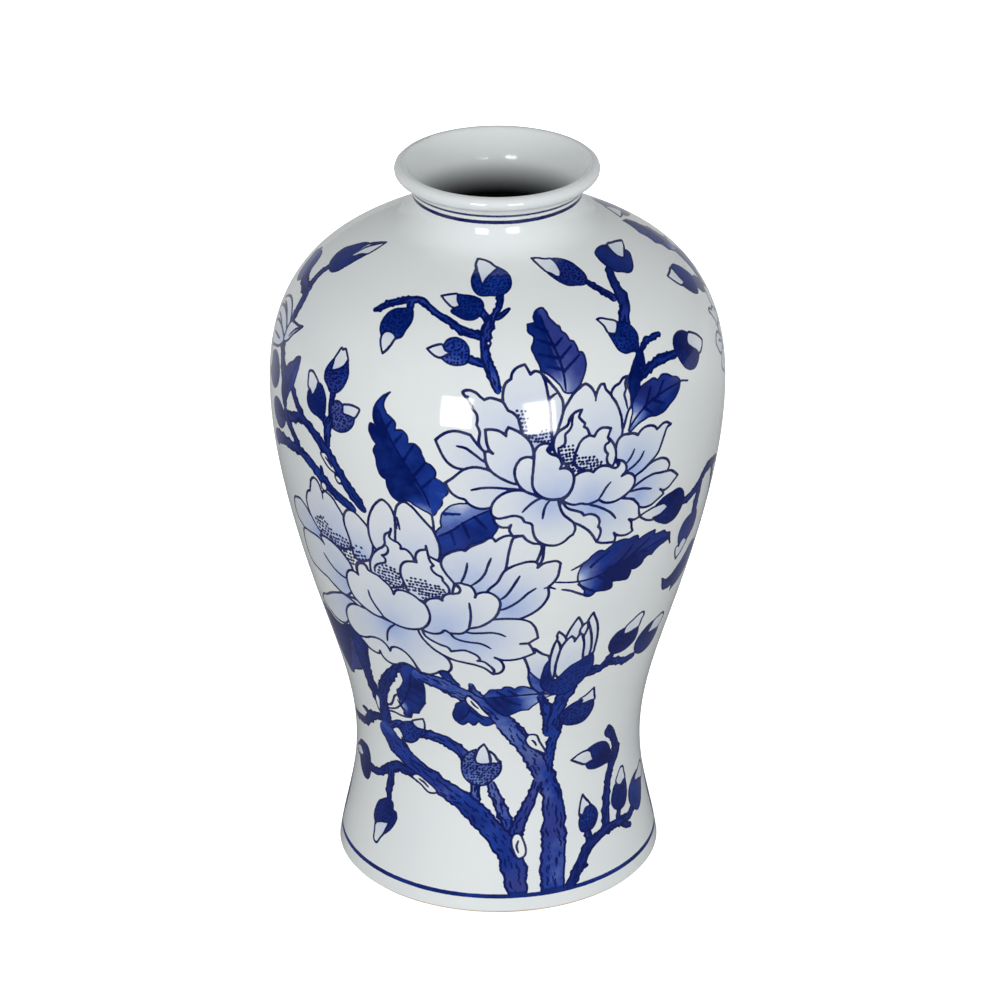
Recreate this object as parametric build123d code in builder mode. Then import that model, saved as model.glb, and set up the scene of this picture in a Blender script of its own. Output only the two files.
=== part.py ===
from build123d import *
import os

# A baluster-shaped (meiping) porcelain vase, in millimetres, +Z up.
# The origin is the centre of the plane that the foot stands on.
#
# The body is thrown in sections, which are luted together while leather-hard:
# a foot ring, a base disc, four rings of wall, a neck collar and a rolled lip.
# Each joint is a small step (rebate) in the wall.  The glaze is a thin skin of
# glass that covers the outside, the inside and the underside of the base.
# Only the bearing edge of the foot ring is left bare.

# ---- driving dimensions ------------------------------------------------------

total_height = 330.0
glaze = 0.4                   # thickness of the glaze skin
wall = 5.0                    # thickness of the fired clay wall

# Glazed outside, as (radius, height), from the foot up to the neck.
foot = (72.3, 1.5)            # the bottom edge is rounded off below this height
instep = (64.9, 40.0)
waist = (64.5, 66.0)
flank = (79.8, 128.0)
chest = (94.6, 185.0)
belly = (99.4, 227.0)
brow = (93.8, 262.5)
shoulder_turn = (83.4, 279.3)
shoulder_top = (66.0, 292.8)
neck_root = (46.0, 302.6)     # the shoulder starts to sweep up into the neck
neck_waist = (36.9, 313.5)
neck_top = (37.7, 320.0)      # the neck flares from here out to the lip

# Directions of the wall at the foot, the waist, the neck root and the lip.
foot_slope = (-0.15, 1.0)
waist_slope = (-0.05, -1.0)   # the lining, going down
root_slope = (-0.93, 0.37)
flare_slope = (0.87, 0.5)
mouth_slope = (-0.5, -0.87)   # from the lip down into the mouth

# Rolled lip: a round bead on the mouth.
lip_outer_radius = 44.15
bead_radius = 2.9
bead_centre = (lip_outer_radius - bead_radius, total_height - bead_radius)

# Throat: a true cylinder inside the neck, measured on the glaze.
throat_radius = 33.0
throat_bottom = 304.0
throat_top = 312.0
flare_radius = 35.0           # the mouth widens upward and is this wide at neck_top

# Foot, base and floor.
bare_edge_radius = 70.4       # outer limit of the flat bearing face
edge_round = (71.4, 0.38)     # middle of the rounded bottom edge
ring_inner_radius = 63.0
recess_depth = 7.0
base_thickness = 7.0
floor_height = recess_depth + base_thickness
floor_radius = 46.0           # flat part of the floor
floor_rise = (58.8, 30.0)     # the floor has curved up into the wall by here
bare_recess = 2.0             # bare strip inside the foot ring, below the glaze

# Luted joints.
step = 3.0                    # height of the step, outer half to inner half
lip_step = 1.4
disc_radius = 66.0            # the foot ring laps up outside the base disc
ring_lap = 2.5
disc_ledge = (54.0, 11.0)     # the foot section stands on the rim of the disc
collar_radius = 49.0          # the neck collar drops into a ledge in the shoulder
ledge_width = 3.0
ledge_height = neck_root[1] - 4.0

side_stations = [foot, instep, waist, flank, chest, belly, brow,
                 shoulder_turn, shoulder_top, neck_root]
lining_stations = [waist, flank, chest, belly, brow,
                   shoulder_turn, shoulder_top, neck_root]
far = 2 * belly[0]            # beyond the vase in any direction
even = (1.0, 1.0)             # no extra pull at either end of a curve


# ---- outlines ----------------------------------------------------------------

def moved_in(curve, station, inset):
    """A station of the side curve, moved inward at right angles to the curve."""
    along = curve.tangent_at(Vector(*station))
    return Vector(*station) + Vector(-along.Y, along.X) * inset


def side_curve():
    """The glazed side from the foot to the neck root, for measuring only."""
    ends = [foot_slope, root_slope]
    return Spline(*side_stations, tangents=ends, tangent_scalars=even, mode=Mode.PRIVATE)


def outside(inset):
    """Curves from the foot to the crown of the lip, inset from the glaze."""
    plain = side_curve()
    side_points = [moved_in(plain, station, inset) for station in side_stations]
    side = Spline(*side_points, tangents=[foot_slope, root_slope], tangent_scalars=even)
    bead = CenterArc(bead_centre, bead_radius - inset, -60, 150)
    Spline(
        side @ 1,
        (neck_waist[0] - inset, neck_waist[1]),
        (neck_top[0] - inset, neck_top[1]),
        bead @ 0,
        tangents=[root_slope, flare_slope],
        tangent_scalars=even,
    )
    return side @ 0, bead @ 1


def inside(inset):
    """Curves from the crown of the lip to the floor, inset from the lining."""
    plain = side_curve()
    depth = 2 * glaze + wall - inset
    throat_start = (throat_radius + inset, throat_top)
    throat_end = (throat_radius + inset, throat_bottom)
    wall_points = [moved_in(plain, station, depth) for station in reversed(lining_stations)]
    floor_end = Vector(floor_radius, floor_height - inset)
    bead = CenterArc(bead_centre, bead_radius - inset, 90, 60)
    Spline(bead @ 1, throat_start, tangents=[mouth_slope, (0, -1)], tangent_scalars=even)
    Line(throat_start, throat_end)
    cavity = Spline(
        throat_end,
        *wall_points,
        tangents=[(0, -1), waist_slope],
        tangent_scalars=even,
    )
    Spline(
        cavity @ 1,
        (floor_rise[0] + inset, floor_rise[1]),
        floor_end,
        tangents=[waist_slope, (-1, 0)],
        tangent_scalars=even,
    )
    return bead @ 0, floor_end


def clay_section():
    """The whole clay body in section, from the bearing face to the lip."""
    axis_floor = (0, floor_height - glaze)
    with BuildLine() as outline:
        clay_foot, crown = outside(glaze)
        crown, floor_end = inside(glaze)
        Line(floor_end, axis_floor)
        Polyline(
            axis_floor,
            (0, recess_depth),
            (ring_inner_radius, recess_depth),
            (ring_inner_radius, 0),
            (bare_edge_radius, 0),
        )
        ThreePointArc((bare_edge_radius, 0), edge_round, clay_foot)
    make_face(outline.edges())


def keep(*corners):
    """Keep only the part of the section inside a stepped boundary."""
    with BuildLine() as boundary:
        Polyline(*corners, close=True)
    make_face(boundary.edges(), mode=Mode.INTERSECT)


def joint_steps(station, rise):
    """Corners of the step at a joint, from outside the wall to the axis."""
    middle = station[0] - glaze - wall / 2
    height = station[1]
    return [(far, height), (middle, height), (middle, height + rise), (0, height + rise)]


def ring_between(lower, upper):
    """Keep the ring of wall between two stepped joints."""
    keep(*reversed(joint_steps(lower, step)), *joint_steps(upper, step))


# ---- foot --------------------------------------------------------------------

with BuildPart() as foot_ring:
    with BuildSketch(Plane.XZ):
        clay_section()
        keep(
            (0, -far),
            (far, -far),
            (far, recess_depth + ring_lap),
            (disc_radius, recess_depth + ring_lap),
            (disc_radius, recess_depth),
            (0, recess_depth),
        )
    revolve(axis=Axis.Z)

with BuildPart() as base_disc:
    with BuildSketch(Plane.XZ):
        clay_section()
        keep(
            (0, recess_depth),
            (disc_radius, recess_depth),
            (disc_radius, disc_ledge[1]),
            disc_ledge,
            (disc_ledge[0], floor_rise[1]),
            (0, floor_rise[1]),
        )
    revolve(axis=Axis.Z)

with BuildPart() as foot_section:
    with BuildSketch(Plane.XZ):
        clay_section()
        keep(
            (disc_ledge[0], instep[1]),
            disc_ledge,
            (disc_radius, disc_ledge[1]),
            (disc_radius, recess_depth + ring_lap),
            (far, recess_depth + ring_lap),
            *joint_steps(instep, step)[:3],
            (disc_ledge[0], instep[1] + step),
        )
    revolve(axis=Axis.Z)


# ---- thrown rings of the body ------------------------------------------------

with BuildPart() as lower_body:
    with BuildSketch(Plane.XZ):
        clay_section()
        ring_between(instep, flank)
    revolve(axis=Axis.Z)

with BuildPart() as upper_body:
    with BuildSketch(Plane.XZ):
        clay_section()
        ring_between(flank, belly)
    revolve(axis=Axis.Z)

with BuildPart() as shoulder:
    with BuildSketch(Plane.XZ):
        clay_section()
        keep(
            *reversed(joint_steps(belly, step)),
            (far, total_height),
            (collar_radius, total_height),
            (collar_radius, ledge_height),
            (collar_radius - ledge_width, ledge_height),
            (collar_radius - ledge_width, brow[1]),
            (0, brow[1]),
        )
    revolve(axis=Axis.Z)


# ---- neck and lip ------------------------------------------------------------

neck_middle = (flare_radius + neck_top[0]) / 2

with BuildPart() as neck_collar:
    with BuildSketch(Plane.XZ):
        clay_section()
        keep(
            (0, brow[1]),
            (collar_radius - ledge_width, brow[1]),
            (collar_radius - ledge_width, ledge_height),
            (collar_radius, ledge_height),
            (collar_radius, neck_top[1]),
            (neck_middle, neck_top[1]),
            (neck_middle, neck_top[1] + lip_step),
            (0, neck_top[1] + lip_step),
        )
    revolve(axis=Axis.Z)

with BuildPart() as lip_roll:
    with BuildSketch(Plane.XZ):
        clay_section()
        keep(
            (0, neck_top[1] + lip_step),
            (neck_middle, neck_top[1] + lip_step),
            (neck_middle, neck_top[1]),
            (far, neck_top[1]),
            (far, far * 2),
            (0, far * 2),
        )
    revolve(axis=Axis.Z)


# ---- glaze -------------------------------------------------------------------

with BuildPart() as outer_glaze:
    with BuildSketch(Plane.XZ):
        with BuildLine() as skin:
            glazed_foot, glazed_crown = outside(0)
            clay_foot, clay_crown = outside(glaze)
            Line(glazed_foot, clay_foot)
            Line(glazed_crown, clay_crown)
        make_face()
    revolve(axis=Axis.Z)

with BuildPart() as inner_glaze:
    with BuildSketch(Plane.XZ):
        with BuildLine() as skin:
            glazed_crown, glazed_floor = inside(0)
            clay_crown, clay_floor = inside(glaze)
            Line(glazed_crown, clay_crown)
            Line(glazed_floor, (0, floor_height))
            Line((0, floor_height), (0, floor_height - glaze))
            Line((0, floor_height - glaze), clay_floor)
        make_face()
    revolve(axis=Axis.Z)

with BuildPart() as base_glaze:
    with BuildSketch(Plane.XZ):
        with BuildLine():
            Polyline(
                (0, recess_depth),
                (ring_inner_radius, recess_depth),
                (ring_inner_radius, bare_recess),
                (ring_inner_radius - glaze, bare_recess),
                (ring_inner_radius - glaze, recess_depth - glaze),
                (0, recess_depth - glaze),
                close=True,
            )
        make_face()
    revolve(axis=Axis.Z)


# ---- write one file for each piece -------------------------------------------

pieces = {
    "foot_ring": foot_ring,
    "base_disc": base_disc,
    "foot_section": foot_section,
    "lower_body": lower_body,
    "upper_body": upper_body,
    "shoulder": shoulder,
    "neck_collar": neck_collar,
    "lip_roll": lip_roll,
    "outer_glaze": outer_glaze,
    "inner_glaze": inner_glaze,
    "base_glaze": base_glaze,
}

os.makedirs("parts", exist_ok=True)
for name, piece in pieces.items():
    piece.part.label = name
    export_step(piece.part, f"parts/{name}.step")
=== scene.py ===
import math

import bmesh
import bpy
import numpy as np
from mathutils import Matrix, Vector


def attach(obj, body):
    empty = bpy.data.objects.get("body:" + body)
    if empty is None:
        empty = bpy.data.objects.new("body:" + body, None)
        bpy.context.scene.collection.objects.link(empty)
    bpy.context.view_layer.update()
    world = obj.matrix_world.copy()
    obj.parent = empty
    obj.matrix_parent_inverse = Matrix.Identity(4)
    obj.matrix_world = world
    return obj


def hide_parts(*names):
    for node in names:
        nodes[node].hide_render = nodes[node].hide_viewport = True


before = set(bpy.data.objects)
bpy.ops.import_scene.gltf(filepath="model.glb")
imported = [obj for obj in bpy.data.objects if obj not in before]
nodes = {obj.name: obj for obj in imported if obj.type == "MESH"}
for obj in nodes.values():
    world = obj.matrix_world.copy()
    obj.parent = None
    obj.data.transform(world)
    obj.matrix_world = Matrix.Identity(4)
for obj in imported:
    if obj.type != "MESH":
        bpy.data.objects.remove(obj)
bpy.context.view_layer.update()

# A blue-and-white porcelain vase.  The clay sections and the base glaze are the
# CAD model's own, and the inner glaze is the CAD model's surface cut into two
# pieces.  The outer glaze is rebuilt here as shell bands that carry the
# underglaze painting.  The painting is drawn with brush strokes in millimetres
# on the unrolled surface, and kept on the mesh as signed distances, which the
# glaze material turns into crisp cobalt edges.

MM = 0.001

# ---- the outside of the vase, from the frame ---------------------------------

bead_radius = 2.9             # the rolled lip is a round bead
bead_start = math.radians(-60)
profile_spacing = 2.5         # between the stations read from the CAD surface
foot_cap = 2.0                # the skin's bottom end face lies below this height
lip_zone = 4                  # the widest point of the lip lies this close to the top
least_outward = 0.05          # faces turned outward less than this are the skin's back


def mesh_arrays(mesh):
    """Vertices in millimetres, face normals, and the corners of each triangle."""
    points = np.empty(len(mesh.vertices) * 3)
    mesh.vertices.foreach_get("co", points)
    normals = np.empty(len(mesh.polygons) * 3)
    mesh.polygons.foreach_get("normal", normals)
    corners = np.empty(len(mesh.loops), int)
    mesh.loops.foreach_get("vertex_index", corners)
    return points.reshape(-1, 3) / MM, normals.reshape(-1, 3), corners.reshape(-1, 3)


def cubic_spline(knots, values):
    """Second derivatives of the natural cubic spline through the values."""
    count = len(knots)
    gap = np.diff(knots)
    system = np.zeros((count, count))
    right = np.zeros((count, values.shape[1]))
    system[0, 0] = system[-1, -1] = 1
    inner = np.arange(1, count - 1)
    system[inner, inner - 1] = gap[:-1]
    system[inner, inner] = 2 * (gap[:-1] + gap[1:])
    system[inner, inner + 1] = gap[1:]
    slope = np.diff(values, axis=0) / gap[:, None]
    right[1:-1] = 6 * np.diff(slope, axis=0)
    return np.linalg.solve(system, right)


class Profile:
    """Radius and height of the glazed outside by distance along it, in mm."""

    def __init__(self, node):
        points, normals, corners = mesh_arrays(node.data)
        middle = points[corners].mean(axis=1)
        outward = middle[:, :2] / np.hypot(middle[:, 0], middle[:, 1])[:, None]
        facing_out = (normals[:, :2] * outward).sum(axis=1) > least_outward
        self.top = points[:, 2].max()
        on_lip = points[:, 2] > self.top - lip_zone
        lip_radius = np.hypot(points[:, 0], points[:, 1])[on_lip].max()
        self.bead = np.array([lip_radius - bead_radius, self.top - bead_radius])
        bead_low = self.bead[1] + bead_radius * math.sin(bead_start)
        on_side = (middle[:, 2] > foot_cap) & (middle[:, 2] < bead_low)
        used = points[np.unique(corners[facing_out & on_side])]
        rows = np.stack([np.hypot(used[:, 0], used[:, 1]), used[:, 2]], axis=1)
        rows = rows[np.argsort(rows[:, 1])]
        bead_point = self.bead + bead_radius * np.array([math.cos(bead_start), math.sin(bead_start)])
        stations = [rows[0]]
        for row in rows:
            clear = min(np.hypot(*(row - stations[-1])), np.hypot(*(row - bead_point)))
            if clear >= profile_spacing:
                stations.append(row)
        self.stations = np.array(stations + [bead_point])
        steps = np.hypot(*np.diff(self.stations, axis=0).T)
        self.knots = np.concatenate([[0], np.cumsum(steps)])
        self.bend = cubic_spline(self.knots, self.stations)
        self.side_length = self.knots[-1]
        self.length = self.side_length + bead_radius * (math.pi / 2 - bead_start)

    def at(self, along):
        """Points and outward normals (radius, height) at distances along."""
        along = np.asarray(along, float)
        index = np.clip(np.searchsorted(self.knots, along, side="right") - 1, 0, len(self.knots) - 2)
        gap = (self.knots[index + 1] - self.knots[index])[:, None]
        right = np.clip((along - self.knots[index])[:, None] / gap, 0, 1)
        left = 1 - right
        low, high = self.stations[index], self.stations[index + 1]
        low_bend, high_bend = self.bend[index], self.bend[index + 1]
        point = left * low + right * high
        point += ((left**3 - left) * low_bend + (right**3 - right) * high_bend) * gap**2 / 6
        run = (high - low) / gap
        run += ((1 - 3 * left**2) * low_bend + (3 * right**2 - 1) * high_bend) * gap / 6
        run /= np.hypot(run[:, 0], run[:, 1])[:, None]
        normal = np.stack([run[:, 1], -run[:, 0]], axis=1)
        angle = bead_start + (along - self.side_length) / bead_radius
        on_bead = (along >= self.side_length)[:, None]
        spoke = np.stack([np.cos(angle), np.sin(angle)], axis=1)
        point = np.where(on_bead, self.bead + bead_radius * spoke, point)
        normal = np.where(on_bead, spoke, normal)
        return point, normal

    def along_at(self, height):
        """Distance along the side at a height."""
        return float(np.interp(height, self.stations[:, 1], self.knots))


profile = Profile(nodes["outer_glaze"])

# ---- the unrolled surface as a canvas ----------------------------------------

cell = 0.36                   # spacing of the finest mesh
block = 4                     # cells along one side of a mesh block
reach = 0.9                   # distances are kept up to this far from an edge
tone_reach = reach * 0.5      # a shape's tone is laid this far past its edge
strip_choices = (1, 2, 3, 4, 6, 12)   # strips that a band's turn may be unrolled into
path_step = 0.7               # spacing of the points along a smoothed stroke
line_end = 0.6                # how thin a brushed line is at its ends
line_taper = 2.0              # length over which it thins
petal_rim = 0.10              # how blue a petal still is at its rim
petal_fade = 1.6              # how fast its wash falls away from its heart
pale_fade = 1.2               # how fast a cobalt shape darkens from its pale base


class Canvas:
    """One band of the surface: a lattice of points and the paint on them."""

    def __init__(self, name, low, high):
        self.name = name
        self.rows = block * max(2, round((high - low) / (cell * block)))
        self.along = np.linspace(low, high, self.rows + 1)
        self.point, self.normal = profile.at(self.along)
        self.radius = self.point[:, 0]
        turn = 2 * math.pi * self.radius.max()
        strips = max(strip_choices)
        self.cols = strips * block * round(turn / (cell * block * strips))
        self.turn_step = 2 * math.pi / self.cols
        shape = (self.rows + 1, self.cols)
        self.ink = np.full(shape, reach, np.float32)
        self.cobalt = np.full(shape, reach, np.float32)
        self.wash = np.zeros(shape, np.float32)
        self.tone = np.zeros(shape, np.float32)

    def window(self, place, low, high):
        """Lattice rows and columns, and their local mm, over a box of a motif."""
        rows = np.nonzero((self.along >= place.along + low[1]) & (self.along <= place.along + high[1]))[0]
        if not len(rows):
            return None
        small = self.radius[rows].min()
        edges = np.array([low[0], high[0]])
        wide = np.where(edges * np.array([-1, 1]) > 0, edges / small, edges / self.radius[rows].max())
        first = math.floor((place.turn + wide[0]) / self.turn_step)
        last = math.ceil((place.turn + wide[1]) / self.turn_step)
        cols = np.arange(first, last + 1)
        x = self.radius[rows][:, None] * (cols * self.turn_step - place.turn)[None, :]
        y = self.along[rows] - place.along
        return np.ix_(rows, cols % self.cols), x.astype(np.float32), y.astype(np.float32)


class Place:
    """Where a motif sits: azimuth in degrees, height in mm, turn, size, mirror."""

    def __init__(self, azimuth, height, tilt=0, size=1, flip=False):
        self.turn = math.radians(azimuth)
        self.along = profile.along_at(height)
        self.size = size
        cos, sin = math.cos(math.radians(tilt)), math.sin(math.radians(tilt))
        side = -1 if flip else 1
        self.matrix = size * np.array([[cos * side, sin * side], [-sin, cos]])

    def put(self, points):
        """Motif points, in mm, turned and sized for this place."""
        return np.asarray(points, float) @ self.matrix


def points_of(text):
    """Points of a stroke written as "x,y x,y^ x,y", where ^ marks a corner."""
    points = []
    corners = []
    for word in text.split():
        corners.append(word.endswith("^"))
        points.append([float(part) for part in word.rstrip("^").split(",")])
    return np.array(points), np.array(corners)


def smooth(text, closed=False):
    """A dense smooth path through the points of a stroke, with its corners kept."""
    points, corners = points_of(text)
    if closed:
        points = np.vstack([points, points[:1]])
        corners = np.append(corners, corners[0])
    chord = np.maximum(np.hypot(*np.diff(points, axis=0).T), 1e-6)
    slope = np.diff(points, axis=0) / chord[:, None]
    leave = np.vstack([slope, slope[-1:]])
    arrive = np.vstack([slope[:1], slope])
    inner = np.nonzero(~corners[1:-1])[0] + 1
    before, after = chord[inner - 1][:, None], chord[inner][:, None]
    mean = (slope[inner - 1] * after + slope[inner] * before) / (before + after)
    leave[inner] = mean
    arrive[inner] = mean
    if closed and not corners[0]:
        first, last = chord[0], chord[-1]
        mean = (slope[-1] * first + slope[0] * last) / (first + last)
        leave[0] = mean
        arrive[-1] = mean
    path = []
    for i, length in enumerate(chord):
        t = np.linspace(0, 1, max(2, math.ceil(length / path_step) + 1))[:-1, None]
        start, end = points[i], points[i + 1]
        out, into = leave[i] * length, arrive[i + 1] * length
        part = (2 * t**3 - 3 * t**2 + 1) * start + (t**3 - 2 * t**2 + t) * out
        path.append(part + (3 * t**2 - 2 * t**3) * end + (t**3 - t**2) * into)
    if not closed:
        path.append(points[-1:])
    return np.vstack(path)


def segment_distance(x, y, start, end, start_half, end_half):
    """Distance in mm from lattice points to one tapering segment."""
    run = end - start
    size = max(float(run @ run), 1e-9)
    along = np.clip(((x - start[0]) * run[0] + (y - start[1]) * run[1]) / size, 0, 1)
    away = np.hypot(x - start[0] - along * run[0], y - start[1] - along * run[1])
    return away - (start_half + along * (end_half - start_half))


class Painter:
    """Paints strokes at one place on every band that they reach."""

    def __init__(self, canvases, place):
        self.canvases = canvases
        self.place = place

    def stroke_field(self, canvas, path, half):
        """Window and distance to a path whose half-width varies point by point."""
        margin = reach + half.max()
        low, high = path.min(axis=0) - margin, path.max(axis=0) + margin
        window = canvas.window(self.place, low, high)
        if window is None:
            return None
        where, x, y = window
        field = np.full(x.shape, reach, np.float32)
        for i in range(len(path) - 1):
            a, b = path[i], path[i + 1]
            near = max(half[i], half[i + 1]) + reach
            first, last = np.searchsorted(y, [min(a[1], b[1]) - near, max(a[1], b[1]) + near])
            if first == last:
                continue
            left = x[first:last].max(axis=0) >= min(a[0], b[0]) - near
            right = x[first:last].min(axis=0) <= max(a[0], b[0]) + near
            cols = np.nonzero(left & right)[0]
            if not len(cols):
                continue
            box = (slice(first, last), slice(cols[0], cols[-1] + 1))
            away = segment_distance(x[box], y[first:last, None], a, b, half[i], half[i + 1])
            field[box] = np.minimum(field[box], away)
        return where, field, x, y

    def shape_fields(self, path):
        """Signed distance to a closed path, negative inside, on every band."""
        ring = np.vstack([path, path[:1]])
        for canvas in self.canvases:
            found = self.stroke_field(canvas, ring, np.zeros(len(ring)))
            if found is None:
                continue
            where, field, x, y = found
            inside = np.zeros(x.shape, bool)
            for a, b in zip(ring[:-1], ring[1:]):
                first, last = np.searchsorted(y, sorted((a[1], b[1])))
                if first == last:
                    continue
                cross = a[0] + (y[first:last] - a[1]) / (b[1] - a[1]) * (b[0] - a[0])
                inside[first:last] ^= x[first:last] > cross[:, None]
            yield canvas, where, np.where(inside, -field, field), x, y

    def line(self, text, width=0.95):
        """A brushed line that thins a little towards both ends."""
        self.line_along(smooth(text), width, line_end)

    def line_along(self, raw, width, ends):
        """The same along a path, with its ends at a share of its width."""
        path = self.place.put(raw)
        steps = np.hypot(*np.diff(path, axis=0).T)
        along = np.concatenate([[0], np.cumsum(steps)])
        end_gap = np.minimum(along, along[-1] - along)
        half = width / 2 * (ends + (1 - ends) * np.clip(end_gap / line_taper, 0, 1))
        for canvas in self.canvases:
            found = self.stroke_field(canvas, path, half)
            if found is not None:
                where, field = found[:2]
                canvas.ink[where] = np.minimum(canvas.ink[where], field)

    def reserve(self, text):
        """Leaves the shape white, whatever was painted there before."""
        self.reserve_along(smooth(text, closed=True))

    def reserve_along(self, raw, wash=None):
        """The same for a path, or a wash of blue where wash is given."""
        for canvas, where, shape, x, y in self.shape_fields(self.place.put(raw)):
            canvas.ink[where] = np.maximum(canvas.ink[where], -shape)
            canvas.cobalt[where] = np.maximum(canvas.cobalt[where], -shape)
            shade = 0 if wash is None else wash(x, y)
            canvas.wash[where] = np.where(shape < 0, shade, canvas.wash[where])

    def petal(self, text, heart, veins=(), depth=0.75, width=1.05):
        """A petal: pale at its rim, washed with blue towards its heart."""
        raw = smooth(text, closed=True)
        centre = self.place.put([heart])[0]
        span = np.hypot(*(self.place.put(raw) - centre).T).max()

        def wash(x, y):
            near = 1 - np.clip(np.hypot(x - centre[0], y[:, None] - centre[1]) / span, 0, 1)
            return petal_rim + depth * near**petal_fade

        self.reserve_along(raw, wash)
        self.line_along(np.vstack([raw, raw[:1]]), width, 1)
        for vein in veins:
            self.line(vein, width * 0.95)

    def cobalt(self, text, tone=0.1, base=None, fade=12, outline=0.0):
        """A solid cobalt shape, which may fade to pale towards its base."""
        self.cobalt_along(smooth(text, closed=True), tone, base, fade, outline)

    def cobalt_along(self, raw, tone, base, fade, outline, split=None):
        """The same along a path.  Split is a line and the tone to its left."""
        centre = None if base is None else self.place.put([base])[0]
        for canvas, where, shape, x, y in self.shape_fields(self.place.put(raw)):
            canvas.ink[where] = np.maximum(canvas.ink[where], -shape)
            canvas.cobalt[where] = np.minimum(canvas.cobalt[where], shape)
            shade = np.full(x.shape, tone, np.float32)
            if split is not None:
                start, end = self.place.put(split[0])
                run = end - start
                across = run[0] * (y[:, None] - start[1]) - run[1] * (x - start[0])
                shade = shade + (split[1] - tone) * np.clip(across / np.hypot(*run) + 0.5, 0, 1)
            if centre is not None:
                away = np.hypot(x - centre[0], y[:, None] - centre[1]) / (fade * self.place.size)
                shade = shade + (1 - shade) * (1 - np.clip(away, 0, 1)) ** pale_fade
            canvas.tone[where] = np.where(shape < tone_reach, shade, canvas.tone[where])
        if outline:
            self.line_along(np.vstack([raw, raw[:1]]), outline, 1)

    def cobalt_stroke(self, raw, half, tone):
        """A broad cobalt stroke whose half-width changes along its path."""
        for canvas in self.canvases:
            found = self.stroke_field(canvas, self.place.put(raw), half * self.place.size)
            if found is None:
                continue
            where, field = found[:2]
            canvas.ink[where] = np.maximum(canvas.ink[where], -field)
            canvas.cobalt[where] = np.minimum(canvas.cobalt[where], field)
            canvas.tone[where] = np.where(field < tone_reach, tone, canvas.tone[where])


# ---- from canvas to mesh -----------------------------------------------------

glaze = 0.4                   # thickness of the glaze shell, in mm
flat_enough = 0.045           # a block stays whole if it bends less than this
plain_share = 0.03            # share of the UV layout kept for the unpainted faces
strip_gap = 0.012             # margin round each strip of the layout


def fine_blocks(canvas):
    """Which blocks hold an edge or a gradient that needs the finest mesh."""
    fine = np.zeros((canvas.rows // block, canvas.cols // block), bool)
    ramp = np.arange(block + 1) / block
    for field in (canvas.ink, canvas.cobalt, canvas.wash, canvas.tone):
        closed = np.concatenate([field, field[:, :1]], axis=1)
        corner = closed[::block, ::block]
        low = corner[:-1, :-1], corner[:-1, 1:]
        high = corner[1:, :-1], corner[1:, 1:]
        for i in range(block + 1):
            for j in range(block + 1):
                here = closed[i:i + canvas.rows - block + 1:block, j:j + canvas.cols - block + 1:block]
                bottom = low[0] * (1 - ramp[j]) + low[1] * ramp[j]
                top = high[0] * (1 - ramp[j]) + high[1] * ramp[j]
                fine |= np.abs(here - bottom * (1 - ramp[i]) - top * ramp[i]) > flat_enough
    return fine


def outline_offsets(bottom, right, top, left):
    """Lattice offsets round a block, with the extra points its fine sides need."""
    steps = range(1, block)
    ring = [(0, 0)] + ([(0, j) for j in steps] if bottom else [])
    ring += [(0, block)] + ([(i, block) for i in steps] if right else [])
    ring += [(block, block)] + ([(block, block - j) for j in steps] if top else [])
    return ring + [(block, 0)] + ([(block - i, 0) for i in steps] if left else [])


def shell_faces(fine):
    """Faces of the outer skin as arrays of rows and columns, one pair per kind."""
    below = np.vstack([fine[:1], fine[:-1]])
    above = np.vstack([fine[1:], fine[-1:]])
    before, after = np.roll(fine, 1, axis=1), np.roll(fine, -1, axis=1)
    faces = []
    for code in range(16):
        sides = [bool(code & bit) for bit in (1, 2, 4, 8)]
        match = ~fine
        for side, neighbour in zip(sides, (below, after, above, before)):
            match = match & (neighbour == side)
        rows, cols = np.nonzero(match)
        ring = np.array(outline_offsets(*sides))
        faces.append((rows[:, None] * block + ring[:, 0], cols[:, None] * block + ring[:, 1], cols))
    rows, cols = np.nonzero(fine)
    for i in range(block):
        for j in range(block):
            ring = np.array([(i, j), (i, j + 1), (i + 1, j + 1), (i + 1, j)])
            faces.append((rows[:, None] * block + ring[:, 0], cols[:, None] * block + ring[:, 1], cols))
    return faces


def strip_count(canvas):
    """How many stacked strips unroll the band into a nearly square layout."""
    turn = 2 * math.pi * canvas.radius.mean()
    height = canvas.along[-1] - canvas.along[0]
    return min(strip_choices, key=lambda n: abs(math.log(turn / n / (n * height))))


def rim_faces(canvas, fine, inner_index):
    """The closing faces along the bottom and the top of a band's shell."""
    faces = []
    columns = np.arange(fine.shape[1])
    for row, edge, upward in ((0, fine[0], False), (canvas.rows, fine[-1], True)):
        for is_fine in (False, True):
            cols = columns[edge == is_fine]
            steps = np.arange(block + 1) if is_fine else np.array([0, block])
            steps = steps if upward else steps[::-1]
            outer = row * canvas.cols + (cols[:, None] * block + steps) % canvas.cols
            ends = (1, 0) if upward else (0, 1)
            inner = np.stack([inner_index(row // block, cols + end) for end in ends], axis=1)
            faces.append((outer, inner, cols))
    return faces


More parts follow.
